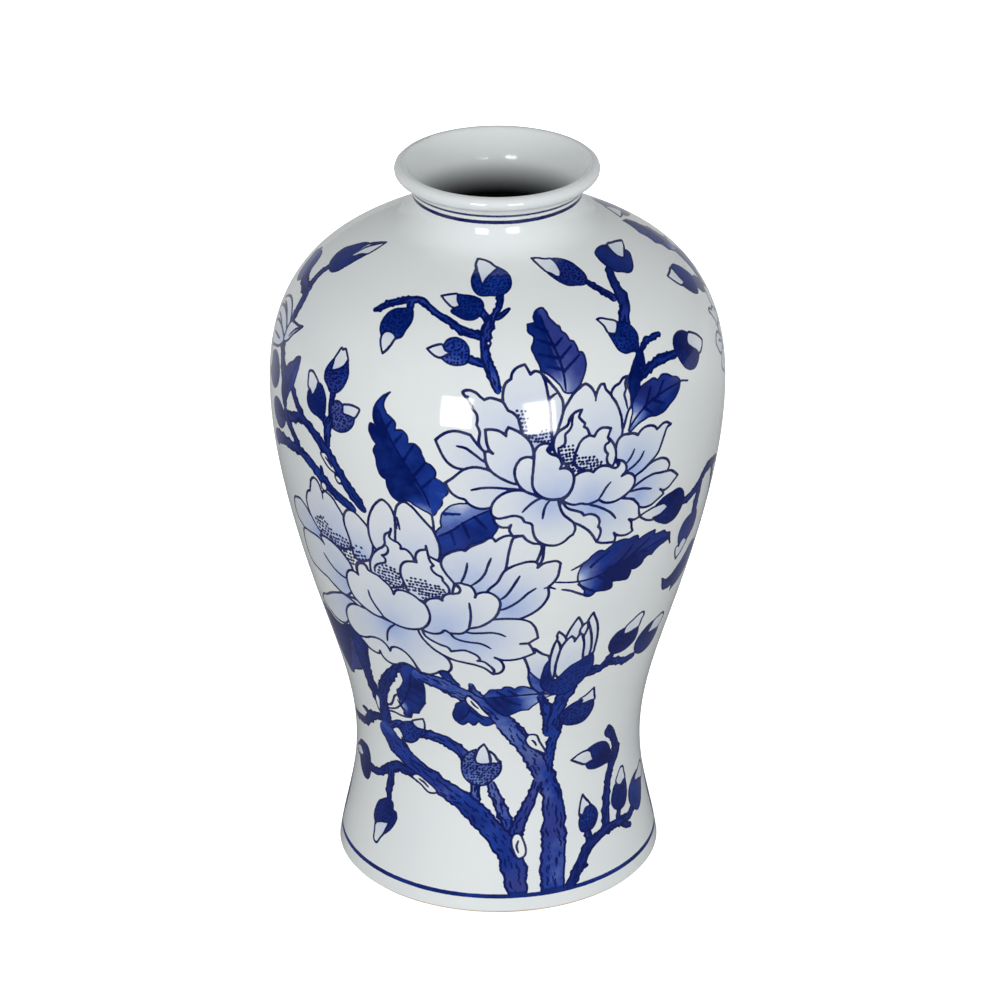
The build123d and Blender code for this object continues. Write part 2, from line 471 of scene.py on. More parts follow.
def shell_mesh(canvas):
    """A closed shell for the band: painted outer skin, plain inner skin, rims."""
    fine = fine_blocks(canvas)
    lattice = (canvas.rows + 1) * canvas.cols
    coarse_cols = canvas.cols // block
    strips = strip_count(canvas)
    strip_cols = canvas.cols // strips

    def inner_index(rows, cols):
        return lattice + rows * coarse_cols + cols % coarse_cols

    loops, sizes, layout = [], [], []
    for rows, cols, block_cols in shell_faces(fine):
        if not len(rows):
            continue
        strip = (block_cols * block) // strip_cols
        across = (cols - (strip * strip_cols)[:, None]) / strip_cols
        up = rows / canvas.rows
        u = strip_gap + (1 - 2 * strip_gap) * across
        level = strip[:, None] + strip_gap + (1 - 2 * strip_gap) * up
        v = plain_share + (1 - plain_share) * level / strips
        loops.append((rows * canvas.cols + cols % canvas.cols).ravel())
        sizes.append(np.full(len(rows), rows.shape[1]))
        layout.append(np.stack([u, v], axis=-1).reshape(-1, 2))
    rows, cols = np.indices(fine.shape).reshape(2, -1)
    turned = [(0, 0), (1, 0), (1, 1), (0, 1)]
    inner = np.stack([inner_index(rows + i, cols + j) for i, j in turned], axis=1)
    loops.append(inner.ravel())
    sizes.append(np.full(len(inner), 4))
    inner_top = plain_share * 0.6
    spot = [[(cols + j) / coarse_cols, inner_top * (rows + i) / fine.shape[0]] for i, j in turned]
    layout.append(np.array(spot).transpose(2, 0, 1).reshape(-1, 2))
    for outer, inner, cols in rim_faces(canvas, fine, inner_index):
        if not len(cols):
            continue
        face = np.concatenate([outer, inner], axis=1)
        loops.append(face.ravel())
        sizes.append(np.full(len(face), face.shape[1]))
        u = np.repeat(cols / coarse_cols, face.shape[1])
        layout.append(np.stack([u, np.full(len(u), plain_share * 0.3)], axis=1))
    loops, sizes = np.concatenate(loops), np.concatenate(sizes)
    used, loops = np.unique(loops, return_inverse=True)
    points, normals, paint = shell_points(canvas, used, lattice, coarse_cols)
    return make_mesh(canvas.name, points, normals, loops, sizes, np.concatenate(layout), paint)


def shell_points(canvas, used, lattice, coarse_cols):
    """Positions, normals and paint of the used lattice and inner-skin points."""
    on_skin = used < lattice
    inner = used[~on_skin] - lattice
    row = np.concatenate([used[on_skin] // canvas.cols, inner // coarse_cols * block])
    col = np.concatenate([used[on_skin] % canvas.cols, inner % coarse_cols * block])
    depth = np.where(on_skin, 0, glaze)
    angle = col * canvas.turn_step
    flat = canvas.point[row] - canvas.normal[row] * depth[:, None]
    around = np.stack([np.sin(angle), -np.cos(angle)], axis=1)
    points = np.column_stack([around * flat[:, :1], flat[:, 1]]) * MM
    normals = np.column_stack([around * canvas.normal[row][:, :1], canvas.normal[row][:, 1]])
    normals *= np.where(on_skin, 1, -1)[:, None]
    paint = {}
    for name in ("ink", "cobalt", "wash", "tone"):
        bare = reach if name in ("ink", "cobalt") else 0
        paint[name] = np.where(on_skin, getattr(canvas, name)[row, col], bare)
    return points, normals, paint


def make_mesh(name, points, normals, loops, sizes, layout, paint):
    """A Blender mesh with smooth normals, a UV layout and paint attributes."""
    mesh = bpy.data.meshes.new(name)
    mesh.vertices.add(len(points))
    mesh.vertices.foreach_set("co", points.astype(np.float32).ravel())
    mesh.loops.add(len(loops))
    mesh.loops.foreach_set("vertex_index", loops.astype(np.int32))
    mesh.polygons.add(len(sizes))
    starts = np.concatenate([[0], np.cumsum(sizes)[:-1]])
    mesh.polygons.foreach_set("loop_start", starts.astype(np.int32))
    mesh.update(calc_edges=True)
    mesh.validate()
    mesh.polygons.foreach_set("use_smooth", np.ones(len(sizes), bool))
    mesh.normals_split_custom_set_from_vertices(normals)
    uv = mesh.uv_layers.new(name="OFBake")
    uv.data.foreach_set("uv", layout.astype(np.float32).ravel())
    for key, values in paint.items():
        layer = mesh.attributes.new(key, "FLOAT", "POINT")
        layer.data.foreach_set("value", values.astype(np.float32))
    return mesh


# ---- the painting: flowers ---------------------------------------------------

def stamens(painter, rows, size=0.95, seed=1):
    """Rows of small dots, each row given as a path and a spacing."""
    random = np.random.default_rng(seed)
    for text, spacing in rows:
        path = smooth(text)
        spacing = spacing * 1.12
        steps = np.concatenate([[0], np.cumsum(np.hypot(*np.diff(path, axis=0).T))])
        for along in np.arange(spacing * 0.3, steps[-1], spacing):
            spot = along + random.uniform(-0.15, 0.15) * spacing
            dash = size * random.uniform(0.02, 0.3)
            ends = np.clip([spot - dash / 2, spot + dash / 2], 0, steps[-1])
            x, y = np.interp(ends, steps, path[:, 0]), np.interp(ends, steps, path[:, 1])
            y = y + random.uniform(-0.2, 0.2)
            painter.line_along(np.stack([x, y], axis=1), 1.08 * size, 1)


def open_peony(painter):
    """The flower seen from the side with its heart open: 108 mm across."""
    petal = painter.petal
    petal("-7,35 -4,31 -1.5,27.3 .2,23 0,19.5 -1.6,14 -4,4 -9,2 -9,24", (-5, 12), ["-5.7,24.8 -3.8,26.2 "
        "-1.8,27.1"], .35)
    petal("-25,25 -24.5,29 -23,32.5 -20.5,34.3^ -19.8,36.5 -17.5,38.8 -13.9,40.1^ -13,38 -12.2,35.8^ "
        "-10,37 -8,36.3 -6.6,33 -6,28 -5.7,24.5 -5.6,14 -6.5,3 -14,-3 -20,6 -23,16", (-13, 8), (), .6)
    petal("-41.5,28.4 -39,29.4 -36,28.5 -34.2,26.8 -32.8,25.6^ -30.5,26.4 -27.5,25.8 -25,24.6 -24,22.7 "
        "-23.3,21.2^ -21.2,20 -19.5,18 -18.8,15 -18.2,11.5 -24,6 -34,3 -36.2,7 -35.8,12.5 -36.8,15^ "
        "-36.3,17.5 -36.5,19.6 -37.8,21.3^ -38.6,23.5 -40.3,26.3^", (-24, 6), ["-41.2,28.6 -40.6,27 "
        "-39.2,26.7"], .55)
    petal("-54.7,7.2^ -52,9.5 -49,11.2 -45,11.8 -42,11.2 -39.6,10.5^ -38,8 -36,5.3 -34.3,3.5 -33,-4 -38,-6 "
        "-43,-5 -46,-4.6 -49,-3 -51.5,0 -53.2,3.5", (-33, -3), ["-45.7,5.3 -42,4.6 -38.5,2.2 -35,-.6 "
        "-33.4,-1.7"], .5)
    petal("-50.8,-11.9^ -48,-9.7 -45,-6.8 -43,-5.2 -40,-4 -37,-3.8 -34,-4.4 -28,-7 -15,-12 -8,-19 -25,-20 "
        "-31,-22.5 -33,-23.1 -36,-23.3 -39,-22.3 -41.3,-20.7^ -42,-19.5 -45,-18.5 -47.5,-17 -49.5,-14.5",
        (-12, -17), ["-39.7,-14.5 -36,-13.5 -31,-13.1 -25,-13.6 -18,-14.6 -12,-16.5 -9.5,-18.3"], .75)
    petal("-33.3,13^ -31,13.1 -28,12.6 -26,11.5 -24.8,10.3^ -24.7,12 -23.6,14^ -22,13.3 -19,11.6 -17,10 "
        "-15,7.5 -13.8,4.5 -13.4,0 -12,-8 -20.5,-11.6 -26,-9.4 -29.5,-7.2 -32.2,-4.5 -33.5,-1.5 -34,3.3^ "
        "-32,3.5 -30.5,2.6^ -31.8,4 -32.8,6.5 -33.2,10", (-15, -9), (), .55)
    petal(".8,20.5 2.5,22.7 5,25.7 8,27.8 11,29.1 13,27.6 14.4,25.3 15,23.2^ 16.4,26^ 18.1,27.6 19.5,27.5^ "
        "19.9,25.5 22,22.6 24.3,18.7 26,14 27,9 26.5,4 24,-2 16,-4 4,4 -3,9 -1,16", (16, -2),
        ["14.7,25.2 15.1,23.4 14.8,21.4"], .6)
    petal("22.3,22.8 24,25.2 27,26.3^ 28.8,27.9 31.3,28 31,25 32,20 31.8,15.5^ 30,13.5 28.5,10 27,6.5 "
        "26.5,12 24.5,18.5", (27, 6), ["30.5,27.5 29.6,25.5 29.8,23.2^ 28.8,21.3 29.3,18 29.8,15"], .5)
    petal("23.5,-.5 24.5,2.2 27,3.9 30,3.7 32.5,3.3 34.8,2^ 36,3.3 38.5,4.4 41.5,4.3 44,3.2 45.5,1.5^ "
        "47,2.1 49,3 51.3,2.8 54,1^ 51.7,.5 50,-2.2 48,-6 46,-9.5 43,-11.8 40,-13.7 36.5,-15.7 33,-17.2 "
        "28,-14 23.5,-6", (31, -15), ["32.8,-4 31.5,-6.5 28.8,-9.5", "38,-6.5 36,-9.3 33,-11.5 29.2,-13.2"],
        1)
    petal("33.5,-17 38,-15 41.5,-13.2 45,-12.6 49,-13 52.3,-15.2 53.5,-18 52.2,-20.3^ 45,-23 38,-24 31,-23",
        (34, -19), (), .6)
    petal("32,-22.6 36,-20.6 40,-19.4 44,-19 47.8,-19.7^ 51.5,-20.3 54.5,-21 57.3,-23 59.7,-25.3^ "
        "56.5,-27.3 53.5,-29.1 50,-29.3 48.2,-28.1^ 50,-29.8 50.6,-31.4^ 47,-32.8 43,-34.3 39,-34.1 "
        "36,-32.7 33,-28 28,-26", (35, -27), ["31,-23.8 35,-23.8 38.5,-24.4 41,-25.3 43,-26"], .9)
    petal("-1.6,-21 -1.7,-25.5 0,-29 3,-32 8,-35.3 12,-39 15.6,-45^ 17.5,-44 17.5,-38 16.5,-33 10,-28 "
        "2,-24", (0, -22), (), .25)
    petal("-30,-27.5 -29.3,-30.3 -27,-32.3 -23.7,-32.6^ -22.6,-31.3^ -23.2,-34 -21.7,-37^ -17.5,-37^ "
        "-16,-39 -13,-41.2 -9,-42 -4,-43^ -6,-38 -14,-30 -22,-26", (-18, -30), (), .15)
    petal("-.8,-21.5 .3,-24 2,-25.7 5.5,-27.3 8,-28.7 9,-30.2^ 11.5,-30 14,-31 15.8,-32.8 16.5,-35 "
        "16,-37.3^ 17,-38.5 17.3,-40.5 16.8,-42.8 15.7,-45.2^ 18,-46.3 21,-47 24.6,-47.6^ 24.8,-45 "
        "23.9,-42.5^ 25.5,-44.1 28,-45.2 31,-45.5 33.8,-44.5^ 33,-42 32.7,-39.5 31.3,-37.7^ 34.5,-38.8 "
        "37.2,-38.1^ 36.5,-35.5 36.3,-32.5 34.5,-29.8 32,-27.6 28.5,-26.4 22,-24 8,-22", (14, -26),
        ["11,-25.2 15,-27 19,-29.5 22,-32 24.3,-35.2"], 1)
    petal("-2.8,-20.3^ -2,-24 -.3,-28 2.7,-31.2 4.7,-33.5 5.3,-36.5 4.5,-39^ 3,-39.8^ 1,-41.8 -2.5,-43.4 "
        "-5.5,-43.2 -9.8,-41.2 -12,-38.7 -13.2,-35 -13.9,-31.5 -17,-30.1^ -18.2,-28 -21.5,-26.8 -25,-27.5 "
        "-28.5,-28 -30.8,-26.3 -31.3,-23.5 -30.3,-20 -27.5,-16.8 -23,-14.7 -18,-14.8 -13.5,-17 -10,-18.6^ "
        "-6,-20.2", (-7, -20), ["-9.8,-18.7 -13,-20.2 -16,-22.8 -18,-25.2", "-6.7,-20.7 -8,-22.5 -9,-26 "
        "-9.3,-29"], .8)
    petal("-13.2,-.9^ -14,.1 -16,.6 -18.3,.2 -20.3,-1.8 -21.5,-5 -21.2,-9 -20,-11.8 -17.5,-14.8 -13.5,-17 "
        "-9,-19 -8,-10", (-14, -17), (), .6)
    petal("-5,5 -4.3,8.3 -2.5,10.7 0,12 1.6,13 2.5,15.5 4,17.3 6,18.3 8.2,18.6^ 7.4,17.3 6.8,15.8 8,14 "
        "9.2,12.4 8.7,11.2^ 10,10.3 10.8,8.5 11.4,7 9,0 0,-4", (2, 2), ["4.5,17.4 3.6,14.8 3.3,12.5 2,10.5 "
        ".3,9 .3,7 0,5 -1.5,4 -2.8,3.4"], .25)
    petal("5.7,2.7 7,5 9,6.5 11,7 13.3,6.2^ 14.5,8 17,9.3 19,9 21.2,8.2^ 20.2,6 19.6,4.4^ 20.5,2.4^ "
        "18.3,1.3 18.2,-.8 19.5,-3^ 19,-4.8 20.2,-8.5 12,-10 4,-4", (11, -7), (), .45)
    petal("19.6,4.6 21,3 22.5,.5 23.4,-2.5 23.2,-6 21.5,-8.9 20,-8 19,-4.8 19.5,-3^ 18.2,-.8 18.3,1.3 "
        "20.3,2.5", (21, -8), (), .2)
    stamens(painter, [("-19.8,20.8 -15.2,20.4", 1.5), ("-19.2,19 -16.5,19.2", 1.4), ("-18.8,17.5 "
        "-15.2,17.6", 1.3), ("-18.4,15.6 -15.2,15.9", 1.3), ("-18.2,13.8 -15.2,14", 1.3),
        ("-17.9,12 -15,12.3", 1.3), ("-17,10.4 -13,10 -9,10.3 -5,10.6", 1.35), ("-15.8,9 -12,8.6 -8,8.8 "
        "-4.8,9", 1.35), ("-14.8,7.6 -11,7.1 -8,7.2 -5,7.5", 1.3), ("-10,11.2 -8,12 -5.5,11.2", 1.7)], .85,
        3)
    petal("-2.2,-6^ -.5,-5.9 1.8,-6.8 3.5,-9 3.9,-12 2.9,-16 .8,-19 -1.5,-20.2^ -5.5,-20.1 -9,-19 "
        "-12,-16.6 -13.9,-13.3 -14.1,-9.5 -13.6,-4 -13.3,0 -12.8,3.5 -10.8,5.6 -8,6.1 -6.2,5.4 -7.7,3.2 "
        "-6,1.2 -3.5,0 -1.8,-2 -1.4,-4", (-5, -20), (), .8)
    stamens(painter, [("-2.2,3.6 3.5,3.9", 1.5), ("-2,2 4.5,2.2", 1.5), ("-1.8,.4 5,.7", 1.45),
        ("-1.5,-1 6,-.8", 1.45), ("-1.2,-2.4 5,-2.4 13.5,-3", 1.5), ("-.8,-3.8 6,-4 15.5,-4.4", 1.45),
        ("-.3,-5.2 7,-5.4 17.3,-6", 1.45), ("1.5,-6.6 8,-7 16.5,-7.2", 1.4), ("3.6,-8 9,-8.3 14,-8.6", 1.4),
        ("11.2,-.8 11.4,-1", 2)], .9, 5)
    painter.line("-2.9,3.6 -2.6,1 -1.9,-2 -1.3,-4.6", 1.1)
    petal("4,-10.7 5.5,-9.5 8,-8.8 11,-8.9 12.7,-9.9^ 14.5,-8.5 17,-7.9 20,-8.6 22,-9.8 23.5,-10.3 25,-9.3 "
        "25.2,-7.8 24.5,-6.8^ 27,-8 28.5,-10 28.8,-12 28,-13.6 26.5,-14.8^ 29,-14.2 31.5,-15.2 33.3,-17.5 "
        "33.3,-20 32,-22.3 29.5,-24.2 26,-25.8 22.5,-26.5 18.5,-25.8 15.5,-23.8^ 13,-24.5 10,-24.8 7.5,-24 "
        "4.5,-24.1 1.5,-23 -.8,-21 1,-19.5 3.2,-16 4,-12", (12, -24), ["15.5,-23.5 17,-21.5 19,-18.5 "
        "21,-16.5"], .75)


def full_peony(painter):
    """The wider flower with a double heart: 135 mm across."""
    petal = painter.petal
    petal("-76,24 -72,25.8 -69,26.5 -66,25.5 -63.3,24 -61,21.6 -57,20.5 -54,15 -52,8 -60,6 -70,10 -77,14",
        (-55, 12), (), .9)
    petal("-62,25 -62.6,28 -62,31.5 -60.5,34.3 -58.3,35.7^ -57.6,38.5 -56.5,42 -54,44 -51.5,43 -50,40.5 "
        "-49,38.3^ -47,39.9 -44.5,39.4 -42,38.2 -39.5,35.3 -36.3,31 -35,26.5 -34,22 -33.5,16 -45,12 -57,18",
        (-42, 15), ["-49,38.3 -48.8,35.2", "-34.6,25 -34,22 -33.4,19.4"], .7)
    petal("-36,31 -35,33.5 -33.5,35.2 -31,35.8 -28,34.7 -25.5,32.7 -22.5,29.5 -21,20 -24,12 -31,10 -34,20",
        (-29, 11), (), .8)
    petal("-20.8,20.7 -22,24 -22.5,29 -22,34 -20,39.5 -17.3,43.7 -14,46.2 -11.5,44.8 -9.8,42.4 -8.6,39 "
        "-7,32 -5,20 -12,16", (-13, 16), (), .35)
    petal("-8,42.3 -6.8,45.3 -3.7,47.5 -.5,46 3,42.2 6,38.7 8.8,35.3 10,32 11,28 10,20 2,14 -8,20 -8.6,34",
        (1, 15), ["-8.9,40 -8.4,36.5 -7.9,33.2", "-7.4,39 -7,36 -6.5,33"], .5)
    petal("-70,10 -64,10.8 -60,11.3 -56,11 -54,10.2 -52.6,9.3^ -54,11.5 -55,12.9^ -53,13.9 -50,14 -45,13 "
        "-41.5,11.2 -38.5,8.7 -36,6 -34.5,2.5 -36,-8 -42,-15 -50,-13 -55,-10.8 -61,-10.2 -70,-8", (-38, -7),
        ["-54.3,3.5 -51,.2 -47,-2.5 -43,-4 -39.6,-4.4"], .65)
    petal("-36,-14.5 -40,-15 -45,-15.3 -50,-17.3 -55,-20 -60,-23.5 -66,-27 -68,-31 -60,-34.6 -56,-35.8 "
        "-52,-35.8 -48.5,-35 -46,-33.3 -43,-28 -36,-20", (-36, -18), (), .7)
    petal("-23.5,6 -23.3,12 -21.5,16 -18.5,19.5 -15.5,22 -14.6,23.5 -14.6,26 -14,28.7 -12.5,29.9 "
        "-11.2,30.7 -10.8,32.4^ -11.6,29.5 -12,27.8 -10.5,26.6 -8,25.8 -6.8,24.3 -7,22.8^ -5,23.2 -3,22 "
        "-1.5,19.5 -1,16 -6,4 -16,0", (-14, 4), ["-14.6,23.5 -13.3,21.5 -13.5,19.5 -15,17.7 -16.8,16.8^ "
        "-15.3,15.5 -15.3,13.5 -17.5,12.3 -20,10.8 -21.3,9 -21.5,6.5"], .4)
    petal("5.5,21.5 8.5,20.3 11,19 13.5,16.5 15,13.5 15.9,10.5 15.8,7.5 15,4.5 14.6,2.5 8,4 4,14", (13, 4),
        (), .25)
    petal("11.3,20.3 12.5,22.5 15,24.5 18,26 20.5,26.7 22,26.3^ 24,28.3 27,30 30,31.5 32.5,33.3 34,33.5 "
        "35.3,31.8^ 37.5,33.5 40,34.6 43,34.6 47,34.3^ 48.3,32.5 50.5,31 53,30.3 56,29.5^ 54,20 44,10 32,1 "
        "20,4 15.5,9", (24, 4), ["22.5,20 21.8,16.5 20.5,12.5 18.8,9", "32.8,23 31,18.5 29.5,14.5 "
        "26.5,10.5 23.5,8"], .75)
    petal("43,33.3 41.5,29.5 40.3,25 39.3,20 38.3,16.3 34.5,10 30,4.7 40,4 52,20 54,29.5 50.5,31 48.3,32.5 "
        "47,34.3^", (40, 8), (), .12)
    petal("38.3,16.3 41,18.2 45,19.8 49,20.6 51.5,20.2 52.6,18.6 52.2,17^ 54.5,18.8 58,19.6 61,19.4 "
        "62.3,18.2^ 61.5,14.5 60.5,11 58.8,8.5 56,5.9^ 55.8,1.5 53.5,-3 50,-6.6 46,-9.2 43.2,-10.5 38,-12 "
        "32,-12 34,0 30,4.5 34.5,10", (36, -3), ["44.2,13 41.5,8.5 39,4.5 36.5,1.5 34.8,.3", "34.6,-5.6 "
        "38,-4 43,-.5 47,3.3 50.6,5.8", "54.2,5.4 56.5,5.6 59,4.4"], .85)
    petal("-8.3,8^ -8.3,11 -7.5,14 -5.5,16.3 -3,17.1 0,17.2^ -.3,20 .5,22.5 2.5,24.2 4.8,25 5,26.8^ "
        "5.3,24.5 5.7,21.5 6.2,19 7.6,16.9^ 6.5,16 6.8,14 8.5,12.2 10.8,10.8 11,9^ 12.5,7 13.3,5 13,2 4,-4 "
        "-4,-2", (2, 0), (), .4)
    stamens(painter, [("-55.5,23 -51,23.6 -46,21.5", 1.7), ("-57,21.6 -52,21.8 -47,20.4 -43.5,20.8", 1.7),
        ("-56,20 -51,19.6 -46,18.4 -41,19.2 -35.8,18.4", 1.75), ("-54.5,18.2 -50,17.4 -45,16.6 -40,17 "
        "-34,17", 1.7), ("-53.5,16.4 -49,15.7 -44,15 -38,15.2 -31,15.8", 1.7), ("-46,13.9 -41,13.3 "
        "-35,13.6 -28,14.6", 1.65), ("-41,11.7 -36,11.6 -30,12.4 -25.2,13.6", 1.65), ("-38.6,9.9 -34,9.9 "
        "-29,10.7 -24.8,12", 1.6), ("-37,8.3 -33.5,8.2 -32,9", 1.5), ("-36,6.4 -33.5,6.2", 1.5),
        ("-31,17.3 -28,17.4 -26,15.8", 2.6), ("-52.5,24.6 -50,25", 1.6), ("-45,23 -44.6,23.3", 2)], 1.05, 7)
    painter.line("-55,12.9 -53.5,13.9 -50,14.1 -45,13.2 -41.5,11.4 -38.5,8.9 -36,6.2 -34.8,4 -34.3,2.2", 1.3)
    painter.line("-31.7,2 -32,5 -31,7.8 -28.3,9 -26.2,8.2 -25.2,6.2", 1.4)
    stamens(painter, [("-18,11 -14,11.6 -11,11", 1.9), ("-19,9.5 -14,9.8 -9.5,9", 1.6),
        ("-19.6,8 -14,8.2 -9,7", 1.5), ("-20,6.4 -14,6.3 -8,5.6", 1.5), ("-19.6,4.9 -14,4.6 -6.5,4.2",
        1.45), ("-16.8,3.4 -12,3 -4,2.8", 1.45), ("-14.6,1.8 -9,1.5 -2,1.3", 1.4), ("-4,8 1,8 5,7", 1.9),
        ("-6,6.2 0,6.2 9.6,5.6", 1.6), ("-5,4.6 2,4.5 11,4.2", 1.5), ("-4,3 3,2.8 12,2.8", 1.45),
        ("-2.5,1.4 4,1.2 11,1.5", 1.4), ("-1,-.2 4,-.3 9.5,.2", 1.35), (".5,-1.8 4,-1.7", 1.3),
        ("1.4,-3.2 3,-3", 1.3)], .95, 9)
    petal("-45.3,-15 -41,-15 -35,-15 -30,-18 -20,-20 -10,-21.5 -3.2,-21 -2.5,-24.5 0,-28 3.5,-31.5 6.5,-34 "
        "8.3,-36 9.3,-38.5 9.2,-41.5 7.8,-44^ 5,-43.8 2,-45.8 -1,-47.3 -5.5,-47.2^ -7,-44.5 -8.7,-41 "
        "-11,-37.8 -14,-35.8 -17,-35.5 -19.2,-36.8 -20,-39^ -21.2,-36.5 -23.5,-34.4 -26.5,-33.8 -30,-34.5 "
        "-34,-36.5 -37.5,-37.3 -41,-36 -43.5,-33.5 -44.7,-30 -44.6,-26 -42.5,-21.8 -39,-18.8 -35,-17.8^ "
        "-40,-16", (-16, -20), ["-15.3,-21.8 -18,-24.5 -19.8,-28 -20.3,-31 -20.6,-33", "-35,-17.8 -30,-18"],
        .9)
    petal("-37.4,-37.6 -35,-40.3 -32.5,-42.5 -29.5,-43.4 -27,-43.2 -26.1,-41.2^ -25,-44.3 -22.5,-46.3 "
        "-19.5,-46.8 -17,-46 -15,-44.5 -12,-44 -9.5,-45 -6.6,-47^ -8.7,-41 -11,-37.8 -14,-35.8 -17,-35.5 "
        "-19.2,-36.8 -20,-39^ -21.2,-36.5 -23.5,-34.4 -26.5,-33.8 -30,-34.5 -34,-36.5", (-20, -36), (), .1)
    petal("-3.3,-21 -2.8,-24 0,-28.5 3.5,-32 7,-34.3 11,-36.2 16,-37.3 20.5,-38.3 24,-40 27.3,-43.6^ "
        "28.3,-42.5 27.5,-40.5 26,-36 20,-28 8,-24 0,-20", (4, -24), (), .08)
    petal("30.5,-11 34,-10.6 39,-10.7 43,-11.3 46.3,-13 48.3,-16.5 48.8,-20 48.9,-22.8^ 47,-23.8 "
        "44.5,-25.4 41,-25.5^ 44.5,-25.8 45.5,-28 46.6,-31.6^ 44,-32.8 40,-34.3 36,-35 32,-34.8 "
        "29.2,-33.4^ 31.5,-35.5 32.3,-38 32,-40.5 30,-42.8 27.4,-43.4^ 28,-41 26,-38 24,-36 21.4,-35.7^ "
        "22.5,-35 22,-33 19.5,-31 16.5,-29.8 13,-30.4 10.4,-31.2^ 9.5,-29.3 6,-28 2.5,-26.3 -.5,-24 "
        "-1.5,-21 8,-18 20,-14", (14, -19), ["17.5,-18.8 21,-19.3 25,-19 30,-18.7 33,-19.5 35,-20.8",
        "11,-20.5 13,-23 16,-24.2 20,-24.8 24,-25.3 26.5,-26.7 28,-28"], .95)
    petal("1.5,-4.8 3,-2.8 5.5,-1.5 8.5,-1.2 9.7,-2^ 9.9,-.2 11,1.2 13,2.3 15.2,2.6 17.5,3.4 18.2,5.2 "
        "17.5,7.2 16,8.2^ 18.5,8.8 20.5,8.3 22.8,7.5 24.3,5 24.6,2.8 24.2,1.3^ 25,3 27.5,4.3 30,4.4 32.5,3 "
        "34.3,.5 34.7,-2 34,-5 32.5,-8.5 30.5,-11 27.5,-13.5 24.5,-15.3 20,-16.6^ 18.5,-18.3 16.5,-19.8 "
        "13.5,-20.3 10.8,-20.2 9.2,-19 7,-20.9 4,-21.9 1,-21.7 -1.5,-20.5 -1,-12", (8, -21),
        ["21.4,-2 21.5,-6 21.3,-10 20.5,-14 19.7,-16.5"], .75)
    petal("-13.2,-3.5^ -12,-1.2 -9.5,-.2 -6,-.5 -3,-1.8 -.5,-4 1.5,-5.5 2.8,-9 3.1,-12 2,-16 -.5,-19.3 "
        "-2.5,-20.5 -6,-21.6 -10,-22 -14.5,-21.3 -17.5,-20.3 -20.2,-19^ -22,-19.6 -25,-19.5 -29,-18.2 "
        "-33,-16.2 -36,-14 -38.3,-10.5 -39.4,-6 -39.3,-2.5 -38.3,0 -36.5,1.7 -34,2.2 -31.5,1.2^ -31.8,4 "
        "-31,7 -28.5,8.6 -26.5,8 -25.2,6 -23.5,5.5 -20.5,4.8 -17.5,2.8 -15,.8 -13.8,-1.2", (-14, -22),
        ["-27,-6 -26.3,-9.5 -24.5,-13 -22,-16.5 -20.2,-18.9"], .5)


# ---- the painting: leaves, buds and branches ---------------------------------

def inside_path(path, spots):
    """Which spots lie inside a closed path."""
    inside = np.zeros(len(spots), bool)
    for a, b in zip(path, np.roll(path, -1, axis=0)):
        if a[1] == b[1]:
            continue
        level = (spots[:, 1] > min(a[1], b[1])) & (spots[:, 1] <= max(a[1], b[1]))
        at = a[0] + (spots[:, 1] - a[1]) / (b[1] - a[1]) * (b[0] - a[0])
        inside ^= level & (spots[:, 0] > at)
    return inside


def stipple(painter, body, spacing=1.5, size=0.6):
    """Small dark dots over a bud, on a loose grid."""
    path = smooth(body, closed=True)
    random = np.random.default_rng(len(path))
    low, high = path.min(axis=0), path.max(axis=0)
    x, y = np.meshgrid(np.arange(low[0], high[0], spacing), np.arange(low[1], high[1], spacing))
    dots = np.stack([x.ravel(), y.ravel()], axis=1)
    dots += random.uniform(-0.35, 0.35, dots.shape) * spacing
    for dot in dots[inside_path(path, dots)]:
        painter.line_along(np.array([dot, dot + (0.2, 0.15)]), size, 1)


def bud(painter, tip, body, tone=0.3, dots=1.5):
    """A bud: a pale outlined tip held in a stippled cobalt body."""
    painter.petal(tip, points_of(body)[0].mean(axis=0), (), 0.45, 0.9)
    painter.cobalt(body, tone, outline=0.6)
    if dots:
        stipple(painter, body, dots)


lobe_step = 0.5               # spacing of the points, in mm
lobe_span = 4.5               # lobes and notches up to about this size
lobe_most = 1.1               # the furthest that a point moves


def lobed(path):
    """The closed path with its lobes and notches drawn more strongly."""
    turn = np.vstack([path, path[:1]])
    steps = np.concatenate([[0], np.cumsum(np.hypot(*np.diff(turn, axis=0).T))])
    count = round(steps[-1] / lobe_step)
    even = np.arange(count) * steps[-1] / count
    dense = np.stack([np.interp(even, steps, turn[:, axis]) for axis in (0, 1)], axis=1)
    width = round(lobe_span / lobe_step)
    window = np.hanning(2 * width + 1)
    padded = np.vstack([dense[-width:], dense, dense[:width]])
    calm = [np.convolve(padded[:, axis], window / window.sum(), "valid") for axis in (0, 1)]
    push = dense - np.stack(calm, axis=1)
    size = np.maximum(np.hypot(*push.T), 1e-9)
    return dense + push * (np.minimum(size, lobe_most) / size)[:, None]


vein_halves = (0.34, 0.08)    # half-width of a leaf's vein at its start and end


def leaf(painter, outline, midrib, veins=(), pale=None, fade=12, tones=(0.02, 0.3)):
    """A toothed leaf, darker on one side of its midrib, pale at its base."""
    ends = points_of(midrib)[0][[0, -1]]
    path = lobed(smooth(outline, closed=True))
    painter.cobalt_along(path, tones[0], pale, fade, 0.6, (ends, tones[1]))
    painter.line(midrib, 0.8)
    for vein in veins:
        raw = smooth(vein)
        painter.cobalt_stroke(raw, np.linspace(*vein_halves, len(raw)), 0.0)


swell_spacing = 1.5           # a branch's width wanders over this length, in mm
knob_spacing = 3.4            # between the knobs on its edges
knob_size = 0.6               # how long a knob is
bark_spacing = 2.0            # between the bark strokes
edge_inset = 0.25             # its dark edge lines lie this far inside its edges


